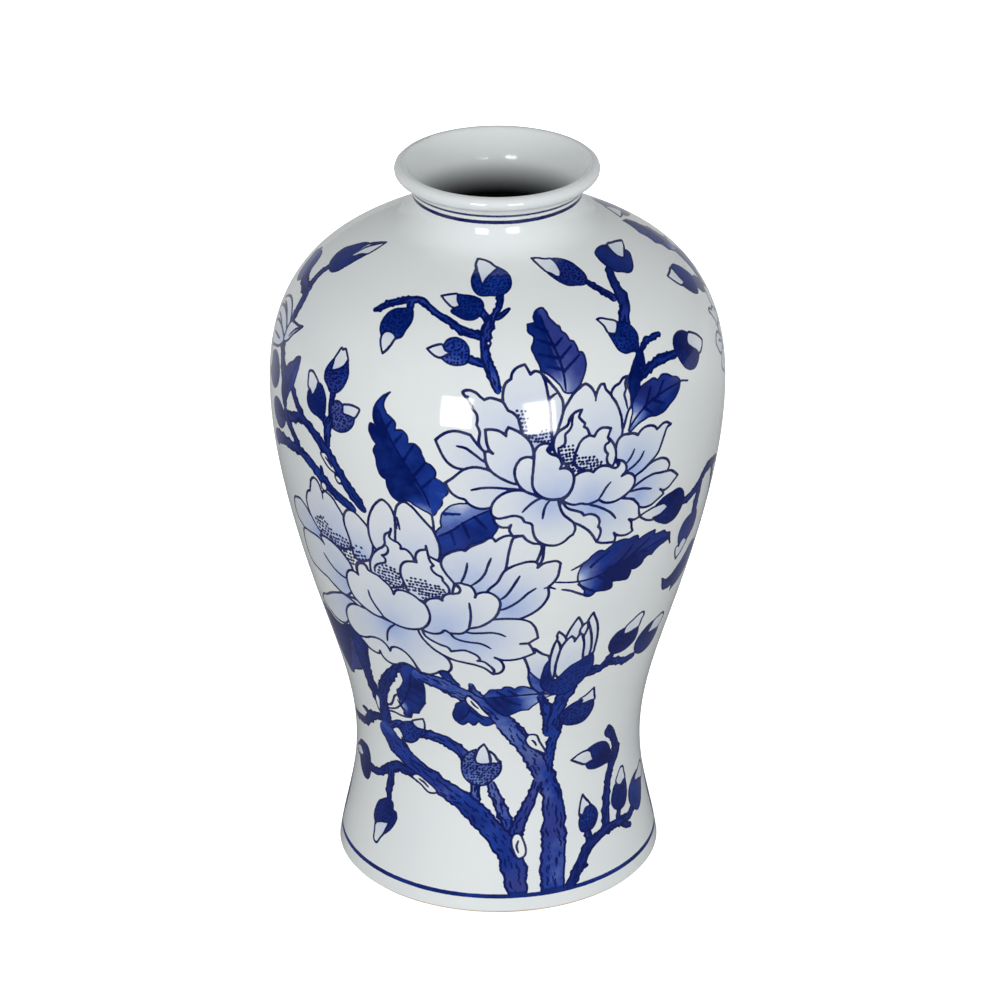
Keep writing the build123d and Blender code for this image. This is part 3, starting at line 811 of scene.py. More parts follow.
def branch(painter, text, widths, tone=0.3, nicks=1.0):
    """A tapering branch with knobbly dark edges and short bark strokes."""
    raw = smooth(text)
    random = np.random.default_rng(len(raw) + len(text))
    steps = np.concatenate([[0], np.cumsum(np.hypot(*np.diff(raw, axis=0).T))])
    knots = [np.hypot(*(raw - point).T).argmin() for point in points_of(text)[0]]
    half = np.interp(steps, steps[knots], [float(width) / 2 for width in widths.split()])
    run = np.gradient(raw, axis=0)
    side = np.stack([run[:, 1], -run[:, 0]], axis=1) / np.hypot(*run.T)[:, None]
    marks = np.arange(0, steps[-1] + 2, swell_spacing)
    swell = [np.interp(steps, marks, random.uniform(-0.12, 0.12, len(marks))) * half for _ in range(2)]
    for along in np.arange(2, steps[-1] - 2, knob_spacing):
        height = random.uniform(0.3, 1.0)
        away = steps - along - random.uniform(0, 3)
        knob = height * np.exp(-(away / knob_size) ** 2)
        swell[int(random.integers(2))] += knob * min(1, half.mean() / 2)
    raw = raw + side * ((swell[1] - swell[0]) / 2)[:, None]
    half = half + (swell[0] + swell[1]) / 2
    painter.cobalt_stroke(raw, half, tone)
    for way in (-1, 1):
        painter.line_along(raw + side * (way * (half - edge_inset))[:, None], 0.85, 0.8)
    gap = bark_spacing / max(nicks, 0.01) if nicks else 1e9
    for along in np.arange(0.6, steps[-1] - 1, gap):
        start = np.searchsorted(steps, along)
        end = np.searchsorted(steps, min(along + random.uniform(1.6, 5), steps[-1]))
        if end - start < 2 or half[start] < 0.9:
            continue
        across = random.uniform(-0.7, 0.8) * (half[start:end] - 0.3)
        mark = raw[start:end] + side[start:end] * across[:, None]
        painter.line_along(mark, random.uniform(0.5, 1.0), 0.3)


knot_size = 1.25              # a cut end is drawn this much larger than its outline
ring_tone = 0.12


def knot(painter, outline, core=""):
    """A cut branch end, left white inside a dark outline."""
    raw = smooth(outline, closed=True)
    raw = raw.mean(axis=0) + (raw - raw.mean(axis=0)) * knot_size
    painter.reserve_along(raw)
    painter.line_along(np.vstack([raw, raw[:1]]), 0.8, 1)
    if core:
        painter.line(core, 1.0)


def ring(canvases, height, width, ground=False):
    """A line round the vase, drawn on the wheel with a slightly unsteady hand.

    With ground, the line is cobalt and the painting above stops at it."""
    for canvas in canvases:
        angle = np.arange(canvas.cols) * canvas.turn_step
        drift = 0.1 * np.sin(2 * angle + height) + 0.05 * np.sin(7 * angle + 2 * height)
        above = (canvas.along - profile.along_at(height))[:, None] + drift * 0.4
        if ground:
            canvas.ink[:] = np.maximum(canvas.ink, np.minimum(-above, reach))
            canvas.cobalt[:] = np.maximum(canvas.cobalt, np.minimum(-above, reach))
            canvas.cobalt[:] = np.minimum(canvas.cobalt, np.abs(above) - width / 2)
            canvas.tone[:] = np.where(np.abs(above) < width, ring_tone, canvas.tone)
        else:
            canvas.ink[:] = np.minimum(canvas.ink, np.abs(above) - width / 2)


def centre_spray(p):
    branch(p, "-4.5,-3.2 -8,-2.5 -15,-.5 -20,3 -26,6 -30,9 -33,11 -37,10.5 -43,8.3 -50,5 -55,1.5 -57,.3",
        "3 4 3.6 3.2 3 3.2 3.4 3 2.8 2.6 2 1")
    branch(p, "-37.5,9 -38.5,6 -40,3.5", "2.6 2.6 3", nicks=0)
    branch(p, "-4.5,-15.5 -8,-14.5 -12,-13.2 -15,-11", "2.4 2.8 3.2 4", nicks=0)
    branch(p, "-3.5,3 -5,6 -7,9.5", "3 3 3.4", nicks=0)
    branch(p, "-.5,5.5 1.5,7 3.4,9 5,10.4", "2 2.2 2 1.2", nicks=0)
    branch(p, "1.2,18.5 1,13 -.4,9 -2.5,5 -4.6,0 -5.3,-5 -5.2,-10 -3.6,-16 -1.4,-21 0,-26.4", "2.6 2.5 2.4 "
        "3 4.8 3.6 3.6 4 4.4 2.6")
    knot(p, "-3.8,-5 -2.9,-5.9 -3.6,-6.9 -4.5,-6")
    bud(p, "-9,32 -9,35 -8.2,37.6^ -6,37.3 -3,35.8 -.5,33.3 .2,33 -1.2,31 -3.5,28 -5.5,24.5 -6.2,22 "
        "-7.3,26 -8.2,29.5", "-5.5,17 -3,17.3 0,17.2 3,18.3 5.2,21 5.8,24.5 4.8,28.5 2.5,31.5 .2,33.2^ "
        "-1.2,31 -3.5,28 -5.4,24.5^ -6.2,22.3^ -7.4,26 -8.3,30 -8.7,33^ -10,29 -10.9,25.5 -10.6,22 "
        "-9.3,18.8 -7.5,17.2", .2)
    bud(p, "-24,15^ -20,16.5 -16.8,17 -16.9,14 -16,11 -18.5,9.9 -21.5,12", "-6,10 -6.3,14 -9,16.3 -13,16.9 "
        "-17,17^ -16.8,14 -16,11^ -18.5,9.8^ -19.7,8 -17,6 -13,4.5 -9.5,5 -7,7.5", .15)
    bud(p, "-30,-10.5^ -27,-8.8 -23,-8 -22,-10 -20,-11 -22,-12.5 -24.5,-13.6 -27.5,-12.5", "-12,-12 "
        "-12.2,-8 -14,-5.5 -17.5,-4.2 -21,-5.5 -23,-8.5^ -22,-10 -20,-11 -22,-12.5 -24,-13.5^ -21,-15.5 "
        "-16,-16 -12.8,-14.8", .42)
    bud(p, "-51.8,-9 -52,-13 -51,-16.2^ -49.5,-15 -47,-12 -45,-9 -44,-8 -45,-6.8 -48,-6 -50.5,-7",
        "-37.5,6.5 -36.8,3 -38,-1 -40,-4 -42,-7.5 -44.5,-8.8^ -46,-7 -48,-6.5 -50,-7 -52,-9.2^ -52.8,-6 "
        "-51.5,-2 -49,1.5 -45,4.3 -41,5.5", .16)


def crown_leaf(p):
    leaf(p, "16.8,8.8 18,9.3 19,9.2^ 20.5,7.5 22,4.5 24,2 25,.8^ 26,0 27.5,-2.5 29,-4 31,-7^ 32,-7.5 "
        "33.5,-9.5 35,-12.5^ 36,-13 37.5,-15.5 38,-18.5 37.3,-22 35.5,-26^ 34,-27.5 32,-28.8 29,-28.5 "
        "26,-25 22,-21 18.5,-18.5^ 17.5,-16 15.8,-12.5^ 14.5,-8.5 15,-6^ 15,-4 13,-1 13,2^ 15.3,3.3^ "
        "15.3,6", "18,6 20,0 23,-7 26,-14 28,-21 29,-28", ["24,-9 27.5,-5.5", "26.5,-14.5 31.5,-9.5",
        "28,-20 35,-14", "21,-2 16,1", "23.5,-8 16.5,-5", "26,-14 17,-11.5", "27.5,-19 21,-17"], (25, -27),
        11, (.12, .38))


def crest_spray(p):
    branch(p, "18,9 22,4.4 25.5,.4 29,-3.4", "2.4 2.6 2.8 3.4")
    branch(p, "34.6,12 32.8,8 32.2,4 32.6,0 33.2,-4 33.3,-8 31,-12 29,-17", "3.6 4.4 4.4 4.6 6.4 5.6 5.4 "
        "5.4", .2)
    bud(p, "-1,27^ 1.5,26.7 4.5,25.5 7,25 8.4,22 8.8,19 8.7,16 7.5,14.3 6.3,14.5 4.3,16.7 2.6,18.2 1.2,21 "
        "0,24", "7,25^ 9.5,24.5 12.3,23 15.2,20.5 17.4,17 19,13.5 19.5,10 17.5,7.4 13,8 10,8.7 6.5,11.6 "
        "4.2,15 2.6,18^ 4.5,16.5 6.5,14.5 7.5,14.3^ 8.7,16 8.8,19 8.4,22", .2)
    bud(p, "40.8,20 45.2,19.2 50,17.8 54,16.3^ 51.5,14 50,13.2 48.5,12.3 46,10.8 43.8,12 41.8,14.6 41,17",
        "30.2,20 32.4,21.2 36,21.3 40.8,20^ 41,17 41.8,14.5 44,11.8 46.5,10.8 49,12.6 50.5,13.2^ 52.5,10.5 "
        "51,8 49,5.5 46,4 43,4.3 40,6 36.5,7.5 34,10 32,13 30.5,16.5", .12, 0)


def right_spray(p):
    branch(p, "-4.5,13.8 -1.5,16 1.2,17.6 2.6,17.2 5.5,17.6 9.4,17.5", "2 2.6 3 2.2 2.6 1.6", .15, 0)
    branch(p, "-11,3.2 -6,5.3 0,6.8 5,7.4 10,7 16,6.6", "4 4 3.4 4.2 3.2 3.4", .15)
    branch(p, "-6,15.5 -5.4,11 -6.2,8.4", "3 3 3", .15, 0)
    branch(p, "-6.5,12.4 -9.5,8.4 -12,3.6 -13.6,-1.5 -15.2,-6.5", "2.6 4.4 6 6 4.6", .12)
    bud(p, "-17,32.5^ -15.5,32.8 -12.5,31.5 -9,29 -10,26.5 -12,24.5 -14.5,24.8 -15.6,25.5 -15.8,29",
        "-15.5,20 -15.8,25^ -14.5,24.5 -13,24.2 -11,26 -8.8,29^ -5.5,27.7 -3,24.5 -2.5,21 -4,17.5 "
        "-5.5,14.5 -9,15 -12.5,15.2 -15,17.5", .12)
    bud(p, "28,11 32,9.5 36,6.5 38.2,4^ 36.5,2 32,.5 30.5,2 27.5,4.8 25.3,7.5 26,9.6", "15.5,6 15,10 17,13 "
        "21,14 25,13 28,11^ 26,9.5 25.5,7 28,4.5 31,2 32,0^ 30,-2 27,-3.5 23,-3.3 19,-1 16.5,3", .06)
    bud(p, "37,34.5^ 41,34.8 46,34.8 46,30 47,27 43.3,27 40,30", "46,34.8 50,34.5 54,32 58,28 61,23 59,20 "
        "55,18.5 51,20 46,24 43.3,27^ 47,27 45.8,31", .1, 0)
    branch(p, "59,21 64,17 70,15", "3 3.4 3.6", .15)
    leaf(p, "-15.5,-6 -13,-3 -10,-.6 -5,.8 -2,1 0,.2^ 3,1 6,.3 9,-1.5 12,-3 14,-5^ 18,-6.5^ 14,-5.8 12,-8 "
        "9,-10.5 5,-12.5 1,-14.3 -3,-14.8 -8,-14.3 -13,-15.3 -18.5,-17 -18,-14 -16.5,-10", "-19.5,-17 "
        "-14,-12 -10,-9.5 -5,-7.5 2,-6 10,-5.5 14,-5.4", ["-10,-9.5 -6,-13", "-5,-7.4 2,-11.5", "-9,-9 "
        "-5,-2", "-2,-7 3,-1.6"], (-16, -12.5), 10, (.1, .2))


def open_twig(p):
    """The small leafy bud group at the left edge below the shoulder."""
    bud(p, "-30,25 -28.5,29 -26,33 -22,37 -17.8,40.6^ -19.3,35 -21.5,30.8 -24,29.5 -26,28 -28,26",
        "-41.5,16 -43,19.5 -42,23 -38,27 -34,30.5 -30,33.5 -27,34.6^ -29,30 -30,26 -29.4,24.4^ -27.5,26.5 "
        "-24.5,29.3 -21.3,30.6^ -23.5,26.5 -26.5,21 -29.5,16.5 -32,14.8 -36,14.2 -39,15", .1, 0)
    p.line("-27,34.6 -23,37.4 -18,40.6", 1.2)
    branch(p, "-41.5,0 -47,.8 -53,2.5 -60,4 -67,6", "4 4.6 6 8 9", .18)
    branch(p, "-38.3,15 -40.4,11 -41.6,7 -41.2,2 -40,-3 -40.3,-8 -41,-13.5", "3 3.4 4.4 4.4 5.4 4.6 4", .18)
    branch(p, "-47,-25 -42,-27 -37,-31 -32,-35", "1.4 2.6 3.6 4.4", .1)


def left_branches(p):
    leaf(p, "-28,32 -27.3,29 -28,25 -28.8,22 -30,19 -33,15 -36,10 -38,7 -41,10 -42,15 -41,19 -39,23.5 "
        "-37,26 -33,29 -30,31.6", "-28.6,30 -32,23 -35,16 -38,8", ["-33,21 -30.5,21", "-35,17 -40,18",
        "-33,22 -37,25"], None, 9, (.08, .22))
    branch(p, "-30.5,18 -26,13.4 -21.5,9.2", "3.6 3.6 4", .15)
    branch(p, "-37,4 -31,4.4 -25,6.6 -20,8", "4 4 4.6 4", .15)
    branch(p, "-37,3.5 -33,.6 -28,-3.4 -24,-8", "4.4 4.2 4 4", .15)
    leaf(p, "-49,6 -42,5.5 -38.7,3 -37.4,0 -40,-4 -44,-6 -49,-5.5 -53,-2 -53,3", "-38,1 -44,0 -52,0", (),
        None, 8, (.1, .25))
    branch(p, "-52,-14 -46,-11.6 -40,-10.2 -30,-9.4 -24,-8.6 -18,-10 -12,-13 -7,-16.2 -2,-19.6 4,-22.4 "
        "9.5,-25", "7 6 5 4.2 4.4 4.6 5.2 5.4 4.6 4.6 4.4", .22)
    branch(p, "-7.3,-14 -7.6,-10.2", "2.4 1.6", .15, 0)
    knot(p, "-7.6,-18 -6,-18.4 -5.4,-20 -6.6,-21.4 -8.2,-20.6 -8.4,-19")
    branch(p, "-4.5,13.5 -4,11.5 -2.6,9", "3.4 3.4 3.4", .15, 0)
    branch(p, "-1,28 -1.3,20 -1.2,15 -2.2,11 -2.8,6 -2.6,1.5", "3.2 2.6 2.6 4.6 3.6 3.4", .2)
    branch(p, "-23,8.6 -18,7 -13,4.8 -8,1.6 -3,-2.4 2,-7 7,-13 11.6,-18.5 15.8,-23.5", "4 3.8 4.2 4.8 5.4 "
        "5 5 5.6 3.6", .2)
    knot(p, "-6.4,-4.2 -4.5,-3.2 -1.6,-5.6 1,-9.3 -1.8,-8.8 -4.8,-6.4", "-4.2,-4.6 -2.2,-6 -.6,-7.8")
    knot(p, "1.6,-11.6 3,-11.4 4.6,-13.4 3.2,-14.2 1.8,-12.8")
    bud(p, "-18.5,27 -18.5,30 -16.8,30.6 -13,29 -11,27.3 -12,24 -14,20.5 -16,22.5 -17.3,23", "-5.5,12 "
        "-5,14 -4.5,18 -5,22 -7,25.5 -9.5,27.3 -11.5,27.2^ -12,24 -13.5,21.3 -14.5,20.4^ -16,22.3 "
        "-17.3,21.4^ -17.5,18 -16,15 -13.5,13.5 -9,12.8", .06)
    bud(p, "5.5,22.5 8,23.5 12,23.7 14.5,23 14,21 12.5,18.7 8,18.7 6,19 5.6,21", "0,11 .5,13 -.8,16.5 "
        "-1.2,20 0,22.5 3,23.5 5.5,22.5^ 5.8,20 6,18.9^ 10,18.9 12.6,18.5^ 12,15.5 9,12 5,10.3 2,10.3", .42)


def round_bud(p):
    bud(p, "2,-9.5 3,-10 4,-9.3 6,-11 8,-14.5 6.5,-16.5 3.5,-18.8 .4,-20 -.2,-16 1,-12", "0,-15 -2,-18 "
        "-3.2,-21 -2.5,-25 0,-27 2,-29 4.5,-29 7.5,-27 9.8,-23 10.2,-19 8.8,-15.5 7.5,-13^ 6.5,-16 4.5,-18 "
        "2,-19.5 .3,-20^", .22)


def great_leaf(p):
    p.line("-4.6,-26 -3.9,-31 -3.4,-37", 1)
    leaf(p, "-24.3,23^ -26.5,21.7 -29,19 -30.8,15.5 -31,11.5 -30,8.2^ -32,8.3 -32.8,6 -31.5,2.5 -29.8,0^ "
        "-30.5,-3 -29.5,-7 -29,-10 -26.5,-14.5 -25,-15.5^ -24,-19 -21.5,-23 -18.5,-24.5 -15,-23.8 "
        "-11,-25.5 -6.5,-27.5 -3.5,-28.3 -1.5,-26 .3,-23 1,-20 2.8,-17 2,-14 0,-12 -2,-10.5^ -2.2,-8 "
        "-4,-5.3 -6.3,-3.8^ -7.8,-1 -9,1.5 -11.3,3.3 -14,3.8^ -15,6.5 -17,8.3 -20,8.7^ -20.5,11 -23,13.5 "
        "-24.5,14.5^ -26,17.5 -25.8,20 -24.9,22", "-28.5,15 -25,8 -20,0 -15,-7 -11,-13 -7,-19 -4.8,-25",
        ["-25,8 -22,12", "-21,2 -17,7", "-16.5,-5 -12,2.6", "-12,-11.5 -6.8,-4.6", "-8.5,-16.5 -3,-11",
        "-24,6 -31,6", "-20,0 -29.6,-3", "-15,-7 -27.6,-12", "-11,-13 -23,-20"], (-9, -30), 11, (.04, .2))
    p.cobalt("-3.8,-13 -2,-11 0,-12 2.4,-14 2.8,-17 1,-20 .3,-23 -1.5,-26 -3.4,-28 -4,-24 -4.6,-18", .3)


def round_leaf(p):
    leaf(p, "-50.5,-25 -48.5,-23 -45,-21.5 -41.5,-21 -38,-20 -32,-18 -25,-20 -28,-28 -28.3,-33 -30,-36.5 "
        "-31,-38 -33,-38.8^ -36,-40.8 -39,-42 -41.5,-44.5^ -44,-44.7 -48,-46.5 -52,-48.5 -54,-45 -55,-40 "
        "-54,-36 -52.5,-33.5^ -52.5,-30 -51.8,-27", "-53,-38.5 -48,-35.5 -43,-31 -38,-27.5 -32,-24",
        ["-51,-27 -48,-26.8 -44.5,-26.5", "-43,-31 -40,-38", "-38,-27.5 -33,-33", "-48,-35.5 -46,-42"],
        (-45, -18), 15, (.2, .44))


def lance_leaf(p):
    """The long leaf under the open flower, with a white slit at its base."""
    p.reserve("-28,6.7^ -25,16.5 -18,20 -10,12 -12,2 -17,1.2")
    leaf(p, "-20,18.5 -18,20.5 -16,22.5 -13,24 -10.5,23.7^ -8,25 -5,26.5 -1,26.8 1.5,26.2^ 4,26.5 6,26.2 "
        "7.5,24.5^ 10,25 14,25.5 16.5,25 17,23.5^ 20,23 23,22.5 25,21 27.5,19.5 28.3,17 29,14^ 27,16 "
        "25,15.8 22,15.3 19,14 17,12.7^ 15,12.7 12.5,11.5^ 11.5,10 8.5,8.5 6,8.3^ 5.3,6 4.3,4.5 1,4.3 "
        "-2,4.7 -3.5,4.6^ -4,2 -6,1.3 -9,1.5 -11.5,1.6^ -13,.5 -15,.4 -16.5,1.2 -17.5,4 -18.5,5.4 -20,8 "
        "-21,10 -21.5,14", "-32,11.2 -27,10.3 -22,9.6 -15,9.8 -8,11.5 0,14.5 8,16.5 16,17.8 24,18.5",
        ["-16,16.5 -12,20 -8,22.5", "-12,10.5 -7,7 -3.5,6", "-3,13 4,9.5", "-6,12.5 1,18 4,22", "3,15.6 "
        "10,20 14,22.5", "10,17 16,14.5"], (-21, 11), 14, (.08, .2))
    p.line("-25,16.5 -21,18.4 -18,20.6", 1)
    p.line("-28,6.6 -24,5.2 -20,3 -17,1.4 -14.5,.4", 1)
    p.line("-21,8 -17,5 -13,2.6 -11.6,1.6", 1)


def edge_buds(p):
    branch(p, "59,-5 65,4 69,16 68,28 65,38", "2.6 3 3.4 3.6 4", .2, 0)
    bud(p, "9.8,-29.5 10,-26 14,-23 17,-21.3 20,-21 21,-22.5 20,-25.5 19,-29.4 16,-29.6 13,-30.2",
        "2.3,-33 3,-30 5,-27.5 8,-26.2 10,-26^ 9.8,-30^ 13,-30.2 16,-29.6 19,-29^ 19.6,-33 18.5,-37 "
        "15,-39.5 10,-40.5 6,-39.5 3,-36", .06)
    bud(p, "32,-31.8 36,-31 40,-31.5 41.3,-33 40.5,-37 38,-39 33,-38.5 28.5,-37.5 30,-35", "20,-40 21,-37 "
        "24,-34 28,-32 32,-31.6^ 30,-35 28.5,-37.5^ 32,-39 39,-39.4^ 38,-44 34,-48 28,-49 22,-46", .12, 0)
    branch(p, "47,22 47.6,26 49,31", "3.6 4.4 5", .15)
    bud(p, "36,8 36.3,3.5 38,.5^ 40.5,2 44,5 46,7.3 43.5,10 40,9.5 38,8", "45,22 48,23.5 51,21 52.5,17 "
        "52,13 49,9.5 46,7.5^ 44.5,8.2 43,10 40,9.5 38.5,7^ 37,10 36,13 36.5,17 39,20.5 42,21.5", .18, 0)
    leaf(p, "29.5,-7^ 33,-8.5 37,-8 41,-6 45,-4 49,-1.5 53,1 60,0 62,-6 58,-12 50,-16 43,-17.5 40.5,-18^ "
        "40,-16 36,-15 32,-13.5 30.5,-11", "30,-7.5 38,-11 48,-9 58,-6", (), None, 9, (.14, .22))


def hanging_pair(p):
    """A branch at the right edge with a bud beside the flower and one below."""
    branch(p, "-11,-16.8 -5,-16.6 0,-15 5,-11.6 10,-9 17,-9.6 26,-12", "3.4 4 4.6 5 5 4.4 4", .15)
    branch(p, "4.4,-14 3.4,-20 3.6,-27", "4.6 4.4 4.6", .15)
    bud(p, "-40,-13.5^ -36,-12.3 -30,-11.6 -26.5,-11.8 -23.5,-12.8 -21.8,-14.2 -25,-16.3 -30,-18.2 -35,-17",
        "-31,-11.4 -27,-9 -22,-8.2 -16,-8.2 -12.4,-11 -10.6,-15 -11.6,-20 -15,-23.4 -20,-24 -25,-22 "
        "-29,-19.5 -31.5,-17^ -27,-16.8 -22.5,-14.6^ -25.5,-12.2", .06)


def half_open(p):
    """A blossom just opening, upright in its calyx."""
    branch(p, "6,-11 10,-11 15,-10.8 19,-9 24,-10.2 29,-12 35,-12", "7 5.6 4.2 4.4 3.8 3.6 3.6", .15)
    branch(p, "15.5,-10.5 18,-8 20.5,-5", "3 3.4 3.4", .12, 0)
    branch(p, "-12.3,-21 -9.5,-27 -7.2,-34 -6,-43", "2.6 4.2 5.2 5", .3)
    branch(p, "1,-17 -1.6,-23 -3.4,-30 -4.2,-43", "8 7 6.6 6", .3)
    petal = p.petal
    petal("-25.5,10^ -22,9.6 -19,9 -17,7.3 -15,5.5 -12,3.7 -11,1 -11.5,-6 -12,-12 -12.5,-18^ -16,-15.5 "
        "-18,-12 -19.3,-8 -19.7,-4 -21,0 -23,4.5", (-14, -10), (), .7)
    p.cobalt("-19.7,-4.5 -17,-7.5 -14.5,-10 -12,-12 -10,-17 -12.5,-18.3 -16,-15.5 -18,-12 -19.2,-8", .5,
        (-19, -4), 5, .6)
    petal("6.3,24.8^ 7.3,22.5 9,18.5 10,14 10.3,9 10,4 9.3,0 8,-.5 8,3 7.8,8 6.8,13 5.2,18 4.3,20 5.2,23",
        (8, 0), (), .4)
    petal("-.8,24^ .5,22 1.2,20.5 1.8,18 1,14 -2,8 -5.5,9 -5.3,13 -4.3,17 -2.5,21", (-2, 8), (), .4)
    petal("1.7,18 3,19.5 4.3,20 4.7,17 4,14 3.3,12 2.2,13.4 1.2,14.4", (3, 12), (), .2)
    petal("4.3,20 5.2,18 6.7,13 7.8,7 8,2 7.2,-1.5 4.2,-2 4.4,3 3.8,9 3.3,12 4,14 4.7,17", (6, -2), (), .5)
    petal("-9,17.5^ -7.5,16 -5.7,13.8 -5,12.2 -6.5,8.5 -7,5 -8,-2 -7.8,-8 -8.2,-11.8^ -10,-7 -11,0 -10.9,5 "
        "-10,11 -9.2,13.5 -9.6,15.5", (-9, -8), ["-9.2,13 -7.6,9.4 -6.8,6"], .6)
    petal("-6.5,8 -5.3,10.5 -4,12.3 -2.7,13.5^ -1,11.5 -.8,10^ .3,12 1.5,13.8 2.5,13^ 4,8 4.4,2 4,-3.5 "
        "2,-4.5 0,-5.5 -3,-8 -5.5,-10.5 -7,-9 -7.8,-3 -7.4,3", (-1, -7), (), .4)
    p.cobalt("-11,1.5^ -12.5,-1 -13.3,-6 -13.5,-11 -12.5,-15 -10,-18 -7,-20 -3,-21.5 0,-21 3,-18.5 6,-16 "
        "8.5,-12.5 10.4,-9 10.5,-4 9.3,.8^ 8.3,-.5 5.5,-1 4.2,-2.2^ 2,-3.3 0,-4.2 -3,-7 -5,-9.5 -6.3,-11^ "
        "-8,-11.8^ -9.5,-9 -10.3,-5 -10.8,-1", .2, None, 9, .6)
    stipple(p, "-11.5,-4 -12.3,-12 -7,-18.5 0,-19.5 6,-14 9,-8 9,-3 4,-5 -2,-8 -7,-13", 1.9, .5)
    bud(p, "7,-27.3 10,-25.5 13.8,-22.3^ 14.5,-26 15,-30 13,-29.7 10,-30.2 8,-30 8.6,-28.2", "-2,-34 "
        "0,-31.5 3,-29 7,-27.5^ 8.5,-28 8,-30^ 10,-30.2 13,-29.8 14.8,-30^ 15.2,-34 13.5,-38.5 11,-41 "
        "5,-41.5 1,-40 -1,-37.5", .16)


def low_leaf(p):
    """The short leaf beside the half-open blossom, fading to white at its end."""
    leaf(p, "-36,-17 -35,-15.5 -33,-15 -30,-14.5^ -29.5,-13.8 -27,-13.6 -24.5,-14.5^ -23,-13.7 -20,-13.8 "
        "-17.5,-15 -14,-16.8 -10,-19 -5,-20.4^ -9,-21.4 -12,-23.3 -14.5,-25.4 -17,-27.8^ -20.5,-28.4 "
        "-23,-29.6 -26,-30.6 -30,-28.6 -33.5,-25 -36,-22 -37,-19", "-35,-20 -28,-19.3 -20,-18.8 -13,-19 "
        "-6,-20.3", ["-30,-19.6 -25,-23 -21,-24.6", "-33,-20.4 -29,-25", "-28,-19.2 -32,-16.4",
        "-23,-19 -27,-15.6"], (-9, -22.5), 17, (.14, .36))


def lobe_leaf(p):
    leaf(p, "20,5 18.5,2 17.3,-2 18,-5 20.5,-6.8 23.5,-5.5^ 25.5,-6.5 28,-5^ 30.5,-6.5 33,-6 34.5,-4.5 "
        "33,-1 31,0 28,3 26,6.5 23,6.5", "26,5 24,0 21,-4", ["25,2 30,-3"], None, 8, (.1, .3))


def slit_leaf(p):
    """The dark upright leaf at the lower left, with a white slit at its base."""
    p.reserve("-18,-7^ -15,-5.5 -13,-2 -10.5,1.8 -8,2 -4,-4 -6,-9 -11,-9.8 -18,-10.6")
    leaf(p, "0,23.4 -3.5,21.8 -5,18 -5,12 -7,8 -9.3,5^ -9.6,2 -9.2,-1 -8.4,-4 -7.4,-6 -7.6,-8.2 -5,-9 "
        "-3,-6.5 0,-5^ 2,-2 4.5,2^ 5.5,8 5.8,13 5,18 4,21", "-18,-9 -12,-6.5 -8,-2 -4,5 -1,12 0,18",
        ["-5,3 .5,0", "-3,7 3,5", "-1.5,11 4,10.5", "-4,5 -7,6"], (-8.6, -4), 5, (.1, .22))
    p.line("-18,-7 -15,-5.5 -13,-2 -11.3,1.2 -9.6,2.6", 1)
    p.line("-18,-10.4 -14,-9.6 -9.5,-10 -6,-9.5 -3.5,-7.2", 1)
    p.line("-4.4,21.4 -2,23.7 1,23.9 3.4,22.4", 1)
    p.line("-10.4,-1 -9,-4.2 -7.4,-7.4", .9)


def edge_leaf(p):
    leaf(p, "-13,8 -6,7.5 0,5.5 6,6 10,8 14,9 20,6 21.5,2 20,-4 17,-12 12,-15 9,-17.5^ 5,-19.5 1,-21.5 "
        "-2,-24.5 -5,-25.2^ -9,-21 -13,-14 -14,-5", "14,8 8,-2 3,-12 -3,-22", ["8,-2 2,2", "5,-8 -3,-6",
        "10,2 15,-4", "6,-6 12,-11"], None, 9, (.06, .3))


